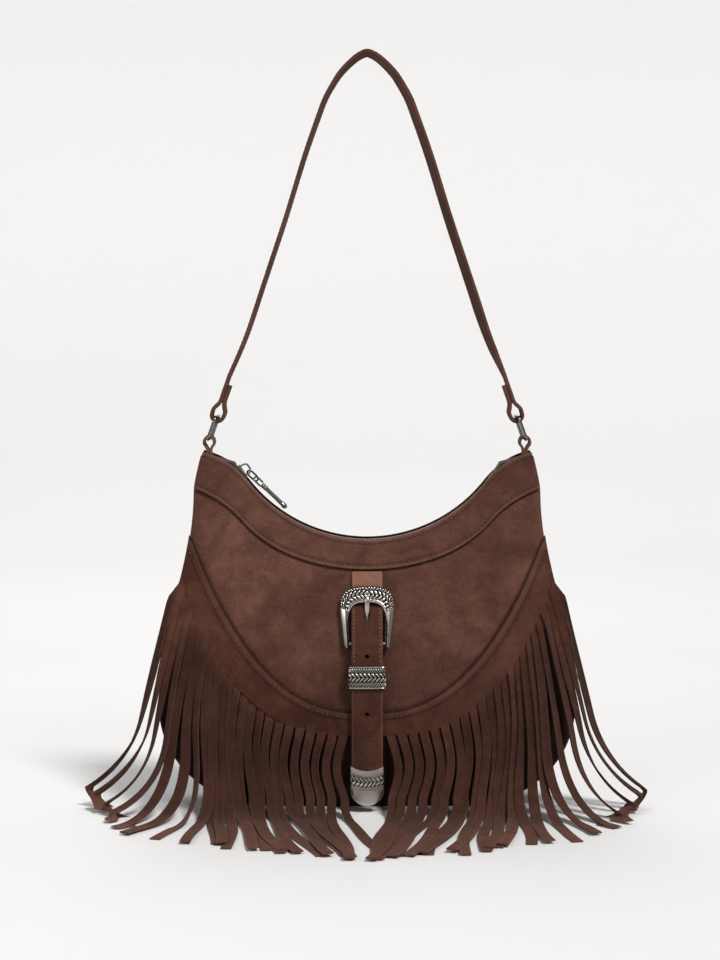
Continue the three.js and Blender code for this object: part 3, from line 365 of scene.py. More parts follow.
class Finish:
    """One material and its nodes."""

    def __init__(self, name, **constants):
        self.material = bpy.data.materials.new(name)
        self.material.use_nodes = True
        self.nodes = self.material.node_tree.nodes
        self.links = self.material.node_tree.links
        self.shader = self.nodes["Principled BSDF"]
        for key, value in constants.items():
            self.shader.inputs[key.replace("_", " ").title().replace("Ior", "IOR")].default_value = value

    def node(self, kind, settings, inputs, output=0):
        made = self.nodes.new(kind)
        for key, value in settings.items():
            if key == "stops":
                ramp = made.color_ramp
                while len(ramp.elements) < len(value):
                    ramp.elements.new(0.5)
                for element, (place, colour) in zip(ramp.elements, value):
                    element.position, element.color = place, (*colour, 1)
            else:
                setattr(made, key, value)
        for key, value in inputs.items():
            if isinstance(value, Flow):
                self.links.new(value.socket, made.inputs[key])
            else:
                made.inputs[key].default_value = value
        return Flow(self, made.outputs[output])

    def feed(self, **inputs):
        for key, value in inputs.items():
            self.links.new(value.socket, self.shader.inputs[key.replace("_", " ")])

    def place(self, scale=(1, 1, 1), turn=(0, 0, 0)):
        co = self.node("ShaderNodeTexCoord", {}, {}, "Object")
        return self.node("ShaderNodeMapping", {}, {0: co, "Rotation": turn, "Scale": scale})

    def noise(self, co, scale, detail=3.0, rough=0.55, twist=0.0):
        return self.node("ShaderNodeTexNoise", {}, {"Vector": co, "Scale": scale, "Detail": detail,
                                                    "Roughness": rough, "Distortion": twist}, "Fac")

    def ramp(self, value, *stops):
        return self.node("ShaderNodeValToRGB", {"stops": stops}, {0: value})

    def attribute(self, name):
        return self.node("ShaderNodeAttribute", {"attribute_name": name}, {}, "Fac")

    def mix(self, share, a, b):
        return self.node("ShaderNodeMix", {"data_type": "RGBA"}, {0: share, 6: a, 7: b}, 2)

    def bump(self, height, strength, distance):
        return self.node("ShaderNodeBump", {}, {"Strength": strength, "Distance": distance, "Height": height})


def suede_finish(name, dark, middle, light, wear_and_highlight, nap=1.0):
    """Brushed suede: cloudy patches, brush strokes and a fine nap. The pale colour goes where the edge attribute
    asks, for rubbing and for painted highlights; the crease attribute paints shade in a near-black brown.
    """
    f = Finish(name, roughness=0.92, sheen_weight=0.12, sheen_roughness=0.45, sheen_tint=(0.6, 0.42, 0.36, 1),
               specular_ior_level=0.18)
    co = f.place()
    cloud = f.noise(co, 17, 3, 0.5, 0.6)
    patch = f.noise(co, 62, 5, 0.62, 0.8)
    stroke = f.noise(f.place((70, 260, 110), (0.3, 0.5, 0.7)), 1.0, 4, 0.6, 0.5)
    grain = f.noise(co, 650, 3, 0.7)
    tone = cloud * 0.38 + patch * 0.3 + stroke * 0.12 + grain * 0.2
    colour = f.ramp(tone, (0.38, dark), (0.5, middle), (0.62, light))
    # Pale colour where the edge attribute asks: rubbing on edges, and on some pieces painted highlights.
    rubbed_and_lit = (f.attribute("edge") * (0.45 + patch * 0.9)).clip()
    colour = f.mix(rubbed_and_lit, colour, (*wear_and_highlight, 1))
    # Painted shade: the crease attribute darkens the colour in seams, grooves, gaps and undersides.
    colour = f.mix(f.attribute("crease") * 0.85, colour, (*(0.16 * c for c in dark), 1))
    f.feed(Base_Color=colour, Normal=f.bump(grain * 0.9 + patch * 0.7, 0.9 * nap, 0.0012))
    return f.material


def thread_finish(name, colour):
    f = Finish(name, roughness=0.7)
    twist = f.noise(f.place((900, 900, 900)), 1.0, 2)
    f.feed(Base_Color=f.ramp(twist, (0.3, tuple(0.7 * c for c in colour)), (0.7, colour)))
    return f.material


def silver_finish(name, bright, dark, rough=0.2):
    """Aged metal: bright where it is rubbed, black in the recesses that the hollow attribute marks."""
    f = Finish(name, metallic=1.0)
    co = f.place()
    smear = f.noise(co, 240, 5, 0.7, 0.4)
    scuff = f.noise(f.place((300, 1500, 300), (0.2, 0.1, 0.6)), 1.0, 4, 0.7)
    hollow = (f.attribute("hollow") + (smear - 0.5) * 0.1).clip()
    rubbed = f.ramp(smear * 0.6 + scuff * 0.4, (0.3, tuple(0.9 * c for c in bright)), (0.68, bright))
    f.feed(Base_Color=f.mix(hollow, rubbed, (*dark, 1)), Roughness=hollow * 0.35 + rough + smear * 0.14,
           Normal=f.bump(scuff, 0.06, 0.0002))
    return f.material


def cloth_finish(name, dark, light, scale=1400):
    f = Finish(name, roughness=0.85, sheen_weight=0.1)
    co = f.place()
    warp = f.node("ShaderNodeTexWave", {"bands_direction": "X"}, {"Vector": co, "Scale": scale / 6.3}, "Fac")
    weft = f.node("ShaderNodeTexWave", {"bands_direction": "Z"}, {"Vector": co, "Scale": scale / 6.3}, "Fac")
    weave = warp * 0.5 + weft * 0.5
    f.feed(Base_Color=f.ramp(weave, (0.2, dark), (0.8, light)), Normal=f.bump(weave, 0.4, 0.0003))
    return f.material


def palette():
    """The bag's finishes, made once."""
    found = {}
    s = bpy.context.scene.bag_colours
    dark, middle, light = tuple(s.dark), tuple(s.middle), tuple(s.light)
    pale = tuple(s.rubbed_and_lit)
    found["suede"] = suede_finish("suede", dark, middle, light, wear_and_highlight=pale)
    deep = lambda colour, r, g, b: (r * colour[0], g * colour[1], b * colour[2])
    # The fringe's darker copy of the suede: painted shade for the lower, crowded sheet and strips.
    found["shaded_fringe"] = suede_finish("shaded_fringe_suede", deep(dark, 0.66, 0.54, 0.48), deep(middle, 0.64, 0.52, 0.46),
                                 deep(light, 0.67, 0.56, 0.5), wear_and_highlight=pale)
    found["billet"] = suede_finish("billet_leather", deep(dark, 0.51, 0.42, 0.37), deep(middle, 0.51, 0.42, 0.37),
                                   deep(light, 0.56, 0.47, 0.42), wear_and_highlight=pale, nap=0.7)
    found["thread"] = thread_finish("thread", tuple(s.thread))
    found["pale_thread"] = thread_finish("pale_thread", tuple(s.pale_thread))
    found["silver"] = silver_finish("aged_silver", tuple(s.silver), (0.012, 0.011, 0.01), 0.17)
    found["gunmetal"] = silver_finish("gunmetal", tuple(s.gunmetal), (0.02, 0.018, 0.016), 0.16)
    found["zip_cloth"] = cloth_finish("zip_cloth", (0.012, 0.008, 0.007), (0.03, 0.02, 0.017))
    found["lining"] = cloth_finish("lining", (0.02, 0.013, 0.011), (0.05, 0.035, 0.03), 900)
    return found


FINISH = {}


# Soft pieces

def on_face(u, v, offset, facing=-1):
    """Points of the face at u across and v up, moved outwards by an offset."""
    x, z = plan(u, v)
    return np.stack(np.broadcast_arrays(x, facing * (depth_uv(u, v) + slack(u, v) + offset), z), -1)


def band_foot(u):
    return 1 - band_height(u * CORNER_X) / mouth_height(u * CORNER_X)


def panel(side, facing):
    """A panel: the face's grid with its outer few millimetres turned in, and a wall behind it."""
    share = np.concatenate([np.linspace(0, 0.93, 124), np.linspace(0.93, 1, 16)[1:]])
    u, t = np.meshgrid(np.linspace(-1, 1, 191), share)
    top = band_foot(u) + 6 / mouth_height(u * CORNER_X)
    v = t * top
    turn, sink, height = 3.2, 2.2, 200
    rim = clamp(1 - (1 - np.abs(u)) * half_width(v * CORNER_Z) / turn)
    foot = clamp(1 - v * height / turn)
    inset = sink * (1 - np.sqrt(1 - np.maximum(rim, foot) ** 2))
    x, z = plan(u, v)
    over = (z - seam_z(x)) / seam_steep(x) if facing < 0 else np.full(z.shape, 99.0)
    under = (band_foot(u) - v) * mouth_height(u * CORNER_X)
    pull = 0.6 * bell(over / 2.4) - 0.35 * bell((over - 7) / 4.5)
    pull += 0.6 * bell((under - 0.5) / 2.2) - 0.2 * bell((under - 6) / 4)
    front = on_face(u, v, -inset - pull * (1 - rim), facing)
    back = on_face(u, v, -PANEL - inset * 0.2 - np.maximum(pull, 0), facing)
    points, faces = shell(front, back)
    edge = np.concatenate([np.maximum(rim, foot).ravel() * 0.2, np.zeros(u.size)])
    # Painted shade in the crease attribute: in the fringe seam's groove and under the band's foot.
    crease = np.maximum(0.9 * bell((over - 0.2) / 1.15), 0.95 * bell(under / 1.1))
    # Also darker in a broad patch low in the middle, round the billet.
    crease = np.maximum(crease, 0.3 * np.exp(-(x / 62) ** 2 - ((z - 88) / 42) ** 2))
    # Painted shade below the fringe's cut line, seen only through the gaps between strips.
    if facing < 0:
        crease = np.maximum(crease, clamp((cut_z(x) - z) / 3))
    crease = np.concatenate([crease.ravel(), np.zeros(u.size)])
    make_object("front_hide" if facing < 0 else "back_hide", (points, faces), "suede", "bag",
                [side + "_panel"], {"edge": edge, "crease": crease})


def band(side, facing):
    """A band: one folded strip of hide with a thick turned lower edge and a rounded mouth edge."""
    u = np.linspace(-1, 1, 221)
    foot = band_foot(u)
    height = mouth_height(u * CORNER_X)
    rows = []
    # Cross-section in millimetres: height and outward offset. Points 9 to 19 count from the mouth, the others
    # from the band's foot.
    outline = [(0, 0.35), (-0.35, 0.9), (-0.35, 1.6), (0.1, 2.25), (1.0, 2.55), (2.2, 2.3), (3.0, 1.92),
               (3.9, 2.15), (6, 2.15), (-14, 2.15), (-10, 2.12), (-6, 2.05), (-4.2, 2.05), (-3.1, 1.8),
               (-2.2, 2.0), (-1.1, 1.85), (-0.3, 1.45), (0.05, 0.8), (-0.25, 0.35), (-6, 0.3), (6, 0.3)]
    for index, (along, offset) in enumerate(outline):
        v = 1 + along / height if 9 <= index <= 19 else foot + along / height
        rows.append(on_face(u, v, offset, facing))
    edge = np.tile([0, 0, 0.1, 0.35, 0.35, 0.1] + [0] * 8 + [0.1, 0.35, 0.4, 0.2, 0, 0, 0], len(u))
    # Painted shade: under the band's turned foot, in its grooves and on its inner faces.
    crease = np.tile([1, 0.9, 0.5, 0.1, 0, 0.2, 0.7, 0.2, 0, 0, 0, 0, 0.1, 0.6, 0.1, 0, 0, 0.1, 0.8, 1, 1],
                     len(u))
    # Darker towards the band's ends.
    crease = np.maximum(crease, np.repeat(0.16 * clamp((np.abs(u) - 0.45) / 0.55), len(outline)))
    make_object(side + "_band_hide", loft(np.stack(rows, 1)), "suede", "bag", [side + "_band"],
                {"edge": edge, "crease": crease})
    fine = np.linspace(-0.985, 0.985, 400)
    height = mouth_height(fine * CORNER_X)
    lines = [(1 - 3.1 / height, 1.86), (band_foot(fine) + 3.0 / height, 1.96)]
    rows = [stitches(on_face(fine, v, offset, facing), [0.0, facing, 0.15]) for v, offset in lines]
    sew(side + "_band_thread", rows, "thread", "bag")


def gusset():
    """The side and base strip: the outline carried round, bulging a little between its two seams."""
    v = np.concatenate([np.linspace(0.985, 0.32, 46), 0.32 * np.linspace(1, 0, 44)[1:] ** 1.7])
    x, z = half_width(v * CORNER_Z), v * CORNER_Z
    half = depth_uv(np.ones_like(v), v)
    base = np.linspace(BASE_X, -BASE_X, 30)[1:-1]
    base_half = depth_uv(base / BASE_X, np.zeros_like(base))
    path = np.concatenate([np.stack([x, z], 1), np.stack([base, 0 * base], 1), np.stack([-x, z], 1)[::-1]])
    width = np.concatenate([half, base_half, half[::-1]])
    along = tangents(path)
    out = np.stack([-along[:, 1], along[:, 0]], 1)
    out *= np.sign(np.sum(out * (path - [0, 120]), 1, keepdims=True))
    bulge, sunk, seam = 1.5, 0.5, 1.2
    t = np.linspace(-1, 1, 15)
    lift = np.where(path[:, 1:] > 1, bulge * (1 - t[None] ** 2) - sunk, 0)
    y = t[None] * (width[:, None] - seam)

    def skin(offset, floor):
        """The strip's points at an offset from the outline, none of them lower than the floor."""
        across, up = path[:, :1] + out[:, :1] * offset, path[:, 1:] + out[:, 1:] * offset
        return np.stack([across, y, np.maximum(up, floor)], -1)

    make_object("gusset_hide", shell(skin(lift, 0.02), skin(lift - GUSSET, 0)), "suede", "bag", ["gusset"],
                {"edge": 0})


def strip_roots(count, first=17.4, last=141.6):
    """Even steps along the cut curve from the billet to the side."""
    x = np.linspace(first, last, 600)
    return even(np.stack([x, cut_z(x)], 1), count)


# Each pair holds the billet strip's value and the side strip's, in degrees or millimetres
HANG, BEARING, BEND, LENGTH = (7, 14), (-10, 86), (42, 92), (196, 205)
STRIP_WIDTH, FLOOR_GAP, LAYER_GAP = 6.9, 0.75, 1.35


def fringe_strip(root, k, side, chance):
    """One strip of fringe: straight down, round a bend and flat on the floor, turned and cupped a little."""
    outer = STRIPS - 1 - k
    f = k / (STRIPS - 1)
    mix = lambda a, b: a + (b - a) * f
    fan = math.exp(-(outer / 5) ** 1.6)
    bearing = math.radians(BEARING[0] + (BEARING[1] - BEARING[0]) * fan + chance[0] * mix(6, 2))
    hang = math.radians(mix(*HANG) + chance[1] * mix(2.4, 0.6))
    radius = (BEND[0] + (BEND[1] - BEND[0]) * f ** 5) * (1 + 0.06 * chance[2])
    length = mix(*LENGTH) + chance[3] * 5 - 15 * math.sin(min(outer, 6) / 6 * math.pi)
    layer = k % 2
    rest = FLOOR_GAP + layer * LAYER_GAP
    x0, z0 = root
    y0 = float(depth_at(x0, z0)) + 1.2
    drop = radius * (1 - math.sin(hang))
    straight = max(z0 - rest - drop, 0) / math.cos(hang)
    arc = radius * (math.pi / 2 - hang)
    total = max(length, straight + arc * 0.93 + 2)
    s = np.linspace(-5 - 7 * f ** 2, total, 46)
    angle = np.clip(hang + (s - straight) / radius, hang, np.pi / 2)
    reach = np.where(s <= straight, s * math.sin(hang),
                     straight * math.sin(hang) + radius * (math.cos(hang) - np.cos(angle))
                     + np.maximum(s - straight - arc, 0))
    height = np.where(s <= straight, z0 - s * math.cos(hang),
                      z0 - straight * math.cos(hang) - radius * (np.sin(angle) - math.sin(hang)))
    flat = clamp((s - straight - arc * 0.7) / 60)
    height = np.maximum(height, rest) + flat ** 2 * (0.5 + 0.5 * chance[4]) * 0.9
    lateral = np.maximum(reach - 25, 0) if bearing < 0 else reach
    sway = clamp(s / total) * 3.4 * np.sin(s / 27 + chance[5] * 3)
    sway += mix(5.5, 2.0) * np.sin(np.pi * clamp(s / (straight + arc * 0.5))) ** 1.4
    centre = np.stack([x0 + lateral * math.sin(bearing) + sway * math.cos(bearing),
                       -(y0 + reach * math.cos(bearing)) + sway * math.sin(bearing), height], 1)
    centre[:, 1] -= layer * 1.1 * clamp(s / 45) - 0.9 * clamp(1 - s / 3)
    turn = bearing * clamp(s / (0.7 * total))
    across = np.stack([np.cos(turn), np.sin(turn), 0 * s], 1)
    along = tangents(centre)
    across = unit(across - along * np.sum(across * along, 1, keepdims=True))
    normal = np.cross(across, along)
    shingle = np.radians(16 + 20 * chance[6] + 16 * np.sin(s / 38 + 4 * chance[0])) * clamp(s / 9)
    shingle = shingle * (1 - 0.85 * clamp(flat * 2))
    lean = np.cos(shingle)[:, None] * across + np.sin(shingle)[:, None] * normal
    normal = np.cross(lean, along)
    width = STRIP_WIDTH - 0.4 * clamp(s / 20) + 1.9 * clamp((s - 45) / 80)
    cup = -(0.75 + 0.45 * np.sin(s / 40 + chance[7] * 3)) * clamp(s / 14) * (1 - 0.75 * flat)
    a = np.array([-1, -0.86, -0.4, 0, 0.4, 0.86, 1, 0.86, 0.4, 0, -0.4, -0.86])
    b = np.array([0, 1, 1, 1, 1, 1, 0, -1, -1, -1, -1, -1]) * FRINGE / 2
    rings = (centre[:, None] + lean[:, None] * (a * width[:, None] / 2)[..., None]
             + normal[:, None] * (b[None] + cup[:, None] * (a[None] ** 2 - 0.4))[..., None])
    over = np.abs(rings[..., 0]) < half_width(np.maximum(rings[..., 2], 0)) + 3
    face = depth_at(np.minimum(np.abs(rings[..., 0]), BELLY_X - 1), np.clip(rings[..., 2], 0, 250))
    clear = face + 0.7 + layer * 0.5 - np.minimum(b, 0)[None]
    clear = clear + np.maximum(b, 0)[None] * 2 - 0.9 * clamp(1 - s / 3)[:, None]
    rings[..., 1] = np.where(over, -np.maximum(-rings[..., 1], clear), rings[..., 1])
    inside = half_width(np.maximum(rings[..., 2], 0)) + 1 + 0.5 * np.maximum(s - 3, 0)[:, None]
    rings[..., 0] = np.minimum(rings[..., 0], inside)
    rings[..., 2] = np.maximum(rings[..., 2], 0.03)
    rings[..., 0] *= side
    wear_and_highlight = (0.1 + 0.07 * chance[6] + 0.3 * clamp(s / total) ** 2)[:, None] * np.where(np.abs(a) > 0.8, 1, 0.7)
    # Painted highlight: one long edge of each strip is paler, as if catching the light.
    wear_and_highlight += 0.25 * clamp(s / 8)[:, None] * (side * a > 0.95)
    # Painted shade through the crease attribute: across each strip's front towards one side, on its back, in the
    # gap along one edge and round the lower layer's edges; less where it lies flat.
    dark = np.where(b > 0, 0.22 * clamp(-side * a + 0.1), 0.5)[None] * clamp(s / 14)[:, None]
    dark = np.maximum(dark, 0.95 * clamp((s + 1) / 4)[:, None] * (side * a < -0.95))
    dark = np.maximum(dark, (0.55 if layer == 0 else 0.15) * clamp(s / 6)[:, None] * (np.abs(a) > 0.8))
    dark = dark * (1 - 0.8 * clamp(flat * 2))[:, None]
    return loft(rings), wear_and_highlight.ravel(), dark.ravel()


def fringe():
    """The fringe: a sheet sewn along its seam curve, all the strips cut from it, and its thread."""
    down = np.array([0, 0.35, 0.8, 1.3, 2.0, 2.7, 3.3, 3.9, 4.8, 7, 10, 14, 19])
    lift = np.array([0.8, 1.35, 1.75, 1.95, 1.98, 1.9, 1.86, 1.72, 1.86, 1.9, 1.88, 1.86, 1.85])
    u, row = np.meshgrid(np.linspace(-1, 1, 241), np.arange(len(down) + 6))
    x = u * SEAM_X
    top = np.stack([x, seam_z(x)], -1)
    low = np.stack([u * CUT_X, cut_z(u * CUT_X) - 1.5], -1)
    steep = seam_steep(x)
    length = np.linalg.norm(top - low, axis=-1)
    fall = down[np.minimum(row, len(down) - 1)] * steep
    share = 0.93 * (1 - np.exp(-fall / length)) / (1 - np.exp(-19 * steep / length))
    share = np.where(row < len(down), share, 0.93 + 0.07 * (row - len(down) + 1) / 6)
    xz = top + (low - top) * share[..., None]
    corner = clamp((np.abs(u) - 0.955) / 0.045) ** 2
    xz[..., 1] -= corner * 4 * (1 - share)
    beyond = np.maximum(1 - (half_width(xz[:, -1, 1]) + 1.0) / np.abs(xz[:, -1, 0]), 0)
    xz[..., 0] *= 1 - beyond[:, None] * np.abs(u) ** 8
    depth = depth_at(np.clip(xz[..., 0], 1 - BELLY_X, BELLY_X - 1), xz[..., 1])
    sheet_front = np.stack([xz[..., 0], -(depth + lift[np.minimum(row, len(down) - 1)]), xz[..., 1]], -1)
    sheet_back = np.stack([xz[..., 0], -(depth + 0.45), xz[..., 1]], -1)
    tone = lambda values: np.concatenate([np.array(values)[np.minimum(row, len(values) - 1)].ravel(),
                                          np.ones(row.size)])
    # Painted light: the sheet's right side is made paler through the edge attribute, as if sunlit.
    sunlit = np.tile(clamp(1.5 * u).ravel(), 2)
    edge = 0.14 * sunlit + 0.16 * tone([0, 0.2, 0.7, 0.8, 0.5, 0.1, 0, 0, 0])
    # Painted shade in the seam's groove and in a fold below it, and all over the back.
    crease = tone([1, 0.8, 0.3, 0, 0, 0, 0.2, 0.6, 0.2, 0])
    make_object("fringe_sheet", shell(sheet_front, sheet_back), "shaded_fringe", "bag", ["fringe"],
                {"edge": edge, "crease": crease})
    rng = np.random.default_rng(SEED)
    roots = strip_roots(STRIPS)
    parts, edges, painted_shades = [], [], []
    for side in (-1, 1):
        chance = rng.uniform(-1, 1, (STRIPS, 8))
        for k in range(STRIPS):
            shape, wear_and_highlight, dark = fringe_strip(roots[k], k, side, chance[k])
            parts.append(shape)
            edges.append(wear_and_highlight)
            painted_shades.append(dark)
    make_object("fringe_strips", merge(parts), "shaded_fringe", "bag",
                attributes={"edge": np.concatenate(edges), "crease": np.concatenate(painted_shades)}, sharp=50)
    fine = np.linspace(-0.975, 0.975, 500)
    x = fine * (SEAM_X - 1)
    edge = np.stack([x, seam_z(x)], 1)
    inward = tangents(edge)
    place = edge + 4.0 * np.stack([inward[:, 1], -inward[:, 0]], 1)
    path = np.stack([place[:, 0], -(depth_at(place[:, 0], place[:, 1]) + 1.86), place[:, 1]], 1)
    sew("fringe_thread", [stitches(path, [0.0, -1.0, 0.1])], "thread", "bag")


STRAP_LINE = [(0, 563), (7, 560.5), (14, 555), (22, 546), (28, 536), (33, 526), (38, 512), (48, 483), (62, 438),
              (76, 396), (90, 352)]


def shoulder_strap():
    """The strap: one ribbon over the top, and at each ring its end folded round the bar and back up."""
    hx, hz = RING_HEAD
    limb = unit(np.array([STRAP_LINE[-1][0] - hx, STRAP_LINE[-1][1] - hz]))
    inward = np.array([-limb[1], limb[0]])
    h, stitch_y, fold_end = STRAP / 2, 5.6, 31
    r = 4.4
    lift = r - (RING_WIRE + 0.5 + h)
    local = lambda m, s: np.array([hx, hz]) + limb * s + inward * m
    half = [np.array(p, float) for p in STRAP_LINE] + [local(-h, fold_end)]
    line = np.array([[-p[0], p[1]] for p in half[:0:-1]] + [[p[0], p[1]] for p in half])
    path2 = smooth_path(line, 200)
    way = np.linspace(-1, 1, 200)
    path = np.stack([path2[:, 0], 0 * way, path2[:, 1]], 1)
    roll = np.radians(np.interp(way, [-1, -0.8, -0.45, -0.15, 0, 0.2, 0.5, 0.8, 0.92, 1],
                                [0, 2, 2, 5, 13, 17, 18, 21, 14, 0]))
    ahead = tangents(path)
    outward = np.stack([-ahead[:, 2], 0 * way, ahead[:, 0]], 1)
    path = path - outward * ((1.5 + 1.9 * bell(way / 0.16)) * clamp((1 - np.abs(way)) / 0.3))[:, None]
    across = np.cos(roll)[:, None] * Y_AXIS - np.sin(roll)[:, None] * outward
    section = strip_section(STRAP_X, h, 0.12)
    parts = [sweep(path, across, section)]
    a = np.pi + np.pi * np.linspace(0, 1, 18)
    turn = [local(r * math.cos(k), lift + r * math.sin(k)) for k in a]
    fold2 = [local(-h, fold_end), local(-h, 19), local(-h * 1.15, 11), local(-r, lift + 4)] + turn
    fold2 += [local(r, lift + 4), local(h * 1.15, 11), local(h * 0.96, 19), local(h * 0.96, 25)]
    fold2 = smooth_path(fold2, 70)
    for side in (1, -1):
        fold = np.stack([side * fold2[:, 0], 0 * fold2[:, 0], fold2[:, 1]], 1)
        narrow = 1 - 0.07 * bell((np.arange(70) - 34) / 14.0)[:, None, None]
        parts.append(sweep(fold, Y_AXIS, section * narrow))
    points, faces = merge(parts)
    edge = np.where(np.abs(points[:, 1]) > 6.7, 0.32, 0.04)
    make_object("strap_hide", (points, faces), "billet", "strap", ["shoulder_strap"],
                {"edge": edge})
    rows = []
    normal = np.cross(across, tangents(path))
    for face in (-1, 1):
        for y in (-stitch_y, stitch_y):
            line = path + unit(across) * y + normal * face * h
            rows.append(stitches(line, normal * face, radius=0.3, lift=-0.06))
    sew("strap_thread", rows, "thread", "strap")


UP = np.array([0, math.sin(BUCKLE_SLOPE), math.cos(BUCKLE_SLOPE)])
OUT = np.array([0, -math.cos(BUCKLE_SLOPE), math.sin(BUCKLE_SLOPE)])
BAR = np.array([0, BAR_Y, BAR_Z])


def on_buckle(a, b, c):
    """Points of the buckle's own axes: a across, b up the slope from the bar, c out of it."""
    a, b, c = np.broadcast_arrays(a, b, c)
    return BAR + a[..., None] * X_AXIS + b[..., None] * UP + c[..., None] * OUT


def cut_with(piece, cutters):
    """Cuts closed meshes out of a piece and keeps the result as its mesh."""
    for shape in cutters:
        tool = make_object("cutter", shape, "billet", "bag")
        change = piece.modifiers.new("cut", "BOOLEAN")
        change.operation, change.object, change.solver = "DIFFERENCE", tool, "EXACT"
        graph = bpy.context.evaluated_depsgraph_get()
        mesh = bpy.data.meshes.new_from_object(piece.evaluated_get(graph))
        piece.modifiers.remove(change)
        piece.data = mesh
        bpy.data.objects.remove(tool, do_unlink=True)
    piece.data.polygons.foreach_set("use_smooth", np.ones(len(piece.data.polygons), bool))
    piece.data.set_sharp_from_angle(angle=math.radians(50))


def billet():
    """The billet: a strip along a line of depths and heights, with its holes and slot cut and its stitches."""
    pts = [on_buckle(0.0, b, c)[1:] for b, c in
           ((54.6, -3.3), (42, -3.1), (31, -3.1), (27.6, -1.7), (23.4, 1.3), (16, 4.3), (8, 5.3), (-5, 5.5))]
    pts += [np.array([BILLET_Y, z]) for z in (112.0, 60.0, 12.0)]
    line = smooth_path(pts, 190)
    path = np.stack([0 * line[:, 0], line[:, 0], line[:, 1]], 1)
    points, faces = sweep(path, X_AXIS, strip_section(BILLET_X, BILLET_T / 2, 0.22))
    edge = np.where(np.abs(points[:, 0]) > BILLET_X - 1.3, 0.3, 0.04)
    # Paler towards the top, where the billet faces up: a painted highlight.
    edge = edge + clamp((points[:, 2] - 158) / 9) ** 1.5 * 1.1
    piece = make_object("billet_hide", (points, faces), "billet", "bag", ["billet_strap"],
                        {"edge": edge})
    cutters = []
    for z in HOLES_Z:
        ring = circle(HOLE_R, 20)
        ends = [np.stack([ring[:, 0], np.full(20, y), z + ring[:, 1]], 1) for y in (-60.0, -41.5)]
        cutters.append(loft(np.stack(ends)))
    slot_at, slot_r, slot_half, stitch_x = 22.6, 2.1, 3.6, 9.4
    t = 2 * np.pi * np.arange(24) / 24
    slot_a, slot_b = slot_r * np.cos(t), slot_at + slot_r * np.sin(t) + slot_half * np.sign(np.sin(t))
    cutters.append(loft(np.stack([on_buckle(slot_a, slot_b, np.full(24, c)) for c in (-12.0, 12.0)])))
    cut_with(piece, cutters)
    normal = np.cross(X_AXIS, tangents(path))
    normal *= np.sign(-normal[:, 1:2])
    keep = (path[:, 2] < 155) & (path[:, 2] > 110.5)
    rows = [stitches(path[keep] + [x, 0, 0] + normal[keep] * (BILLET_T / 2 + 0.02), normal[keep], 3.1, 2.1, 0.33)
            for x in (-stitch_x, stitch_x)]
    sew("billet_thread", rows, "pale_thread", "bag")


def corner_tabs():
    """A tab at each corner: a band of hide round the ring's bar, its two ends going down between the bands."""
    for name, side in (("left", -1), ("right", 1)):
        fx, fz = RING_FOOT
        a = np.linspace(-0.3 * np.pi, 1.3 * np.pi, 30)
        loop = np.stack([3.8 * np.cos(a), -2.3 + 4.15 * np.sin(a)], 1)
        line = np.concatenate([[[1.0, -26], [1.0, -11], [1.05, -8.4]], loop,
                               [[-1.05, -8.4], [-1.0, -11], [-1.0, -26]]])
        line = smooth_path(line, 80)
        path = np.stack([side * fx + line[:, 0], 0 * line[:, 0], fz + line[:, 1]], 1)
        flat = strip_section(TAB_X, 0.98)
        points, faces = sweep(path, Y_AXIS, flat)
        edge = np.where(np.abs(points[:, 1]) > 6, 0.5, 0.1)
        make_object("tab_hide_" + name, (points, faces), "suede", "bag", ["tab_" + name], {"edge": edge})


def chape():
    """The chape: hide round the bar in two ears, and its tail down to the panel."""
    parts = []
    r = BAR_WIRE + 0.35 + 0.75
    loop = [[r * math.cos(k), r * math.sin(k)] for k in np.linspace(-2.2, 2.1, 26)]
    line = np.concatenate([[[-13.5, -3.6], [-7, -3.1]], loop, [[-4, 0.4], [-7, -1.2], [-13.3, -2.0]]])
    line = smooth_path(line, 80)
    for low, high in ((-11.0, -2.4), (2.4, 11.0)):
        path = on_buckle((low + high) / 2 + 0 * line[:, 0], line[:, 0], line[:, 1])
        parts.append(sweep(path, X_AXIS, strip_section((high - low) / 2, 0.7)))
    make_object("chape_hide", merge(parts), "billet", "bag", ["buckle_chape"],
                {"edge": 0.1})


# Metal pieces

def rod(phase):
    """Round rods side by side: a half ellipse over the middle three quarters of each step of the phase."""
    return dome((phase % 1 - 0.5) / 0.37)


def plait(s, t, pitch=2.5, lean=1.1):
    """Two rows of leaning strands that meet at t = 0: rods along s, later the farther from the middle."""
    return rod(s / pitch + lean * np.abs(t)) * dome((np.abs(t) - 0.5) / 0.52)


def rope(s, t, pitch=1.7, lean=0.4):
    """One row of leaning cords: rods along s, rounded across t from -1 to 1."""
    return rod(s / pitch + lean * t) * dome(t)


def recess(relief):
    """How dark the silver is: full in the gaps between strands and none on their crowns."""
    return clamp(1.5 - 2.0 * relief)


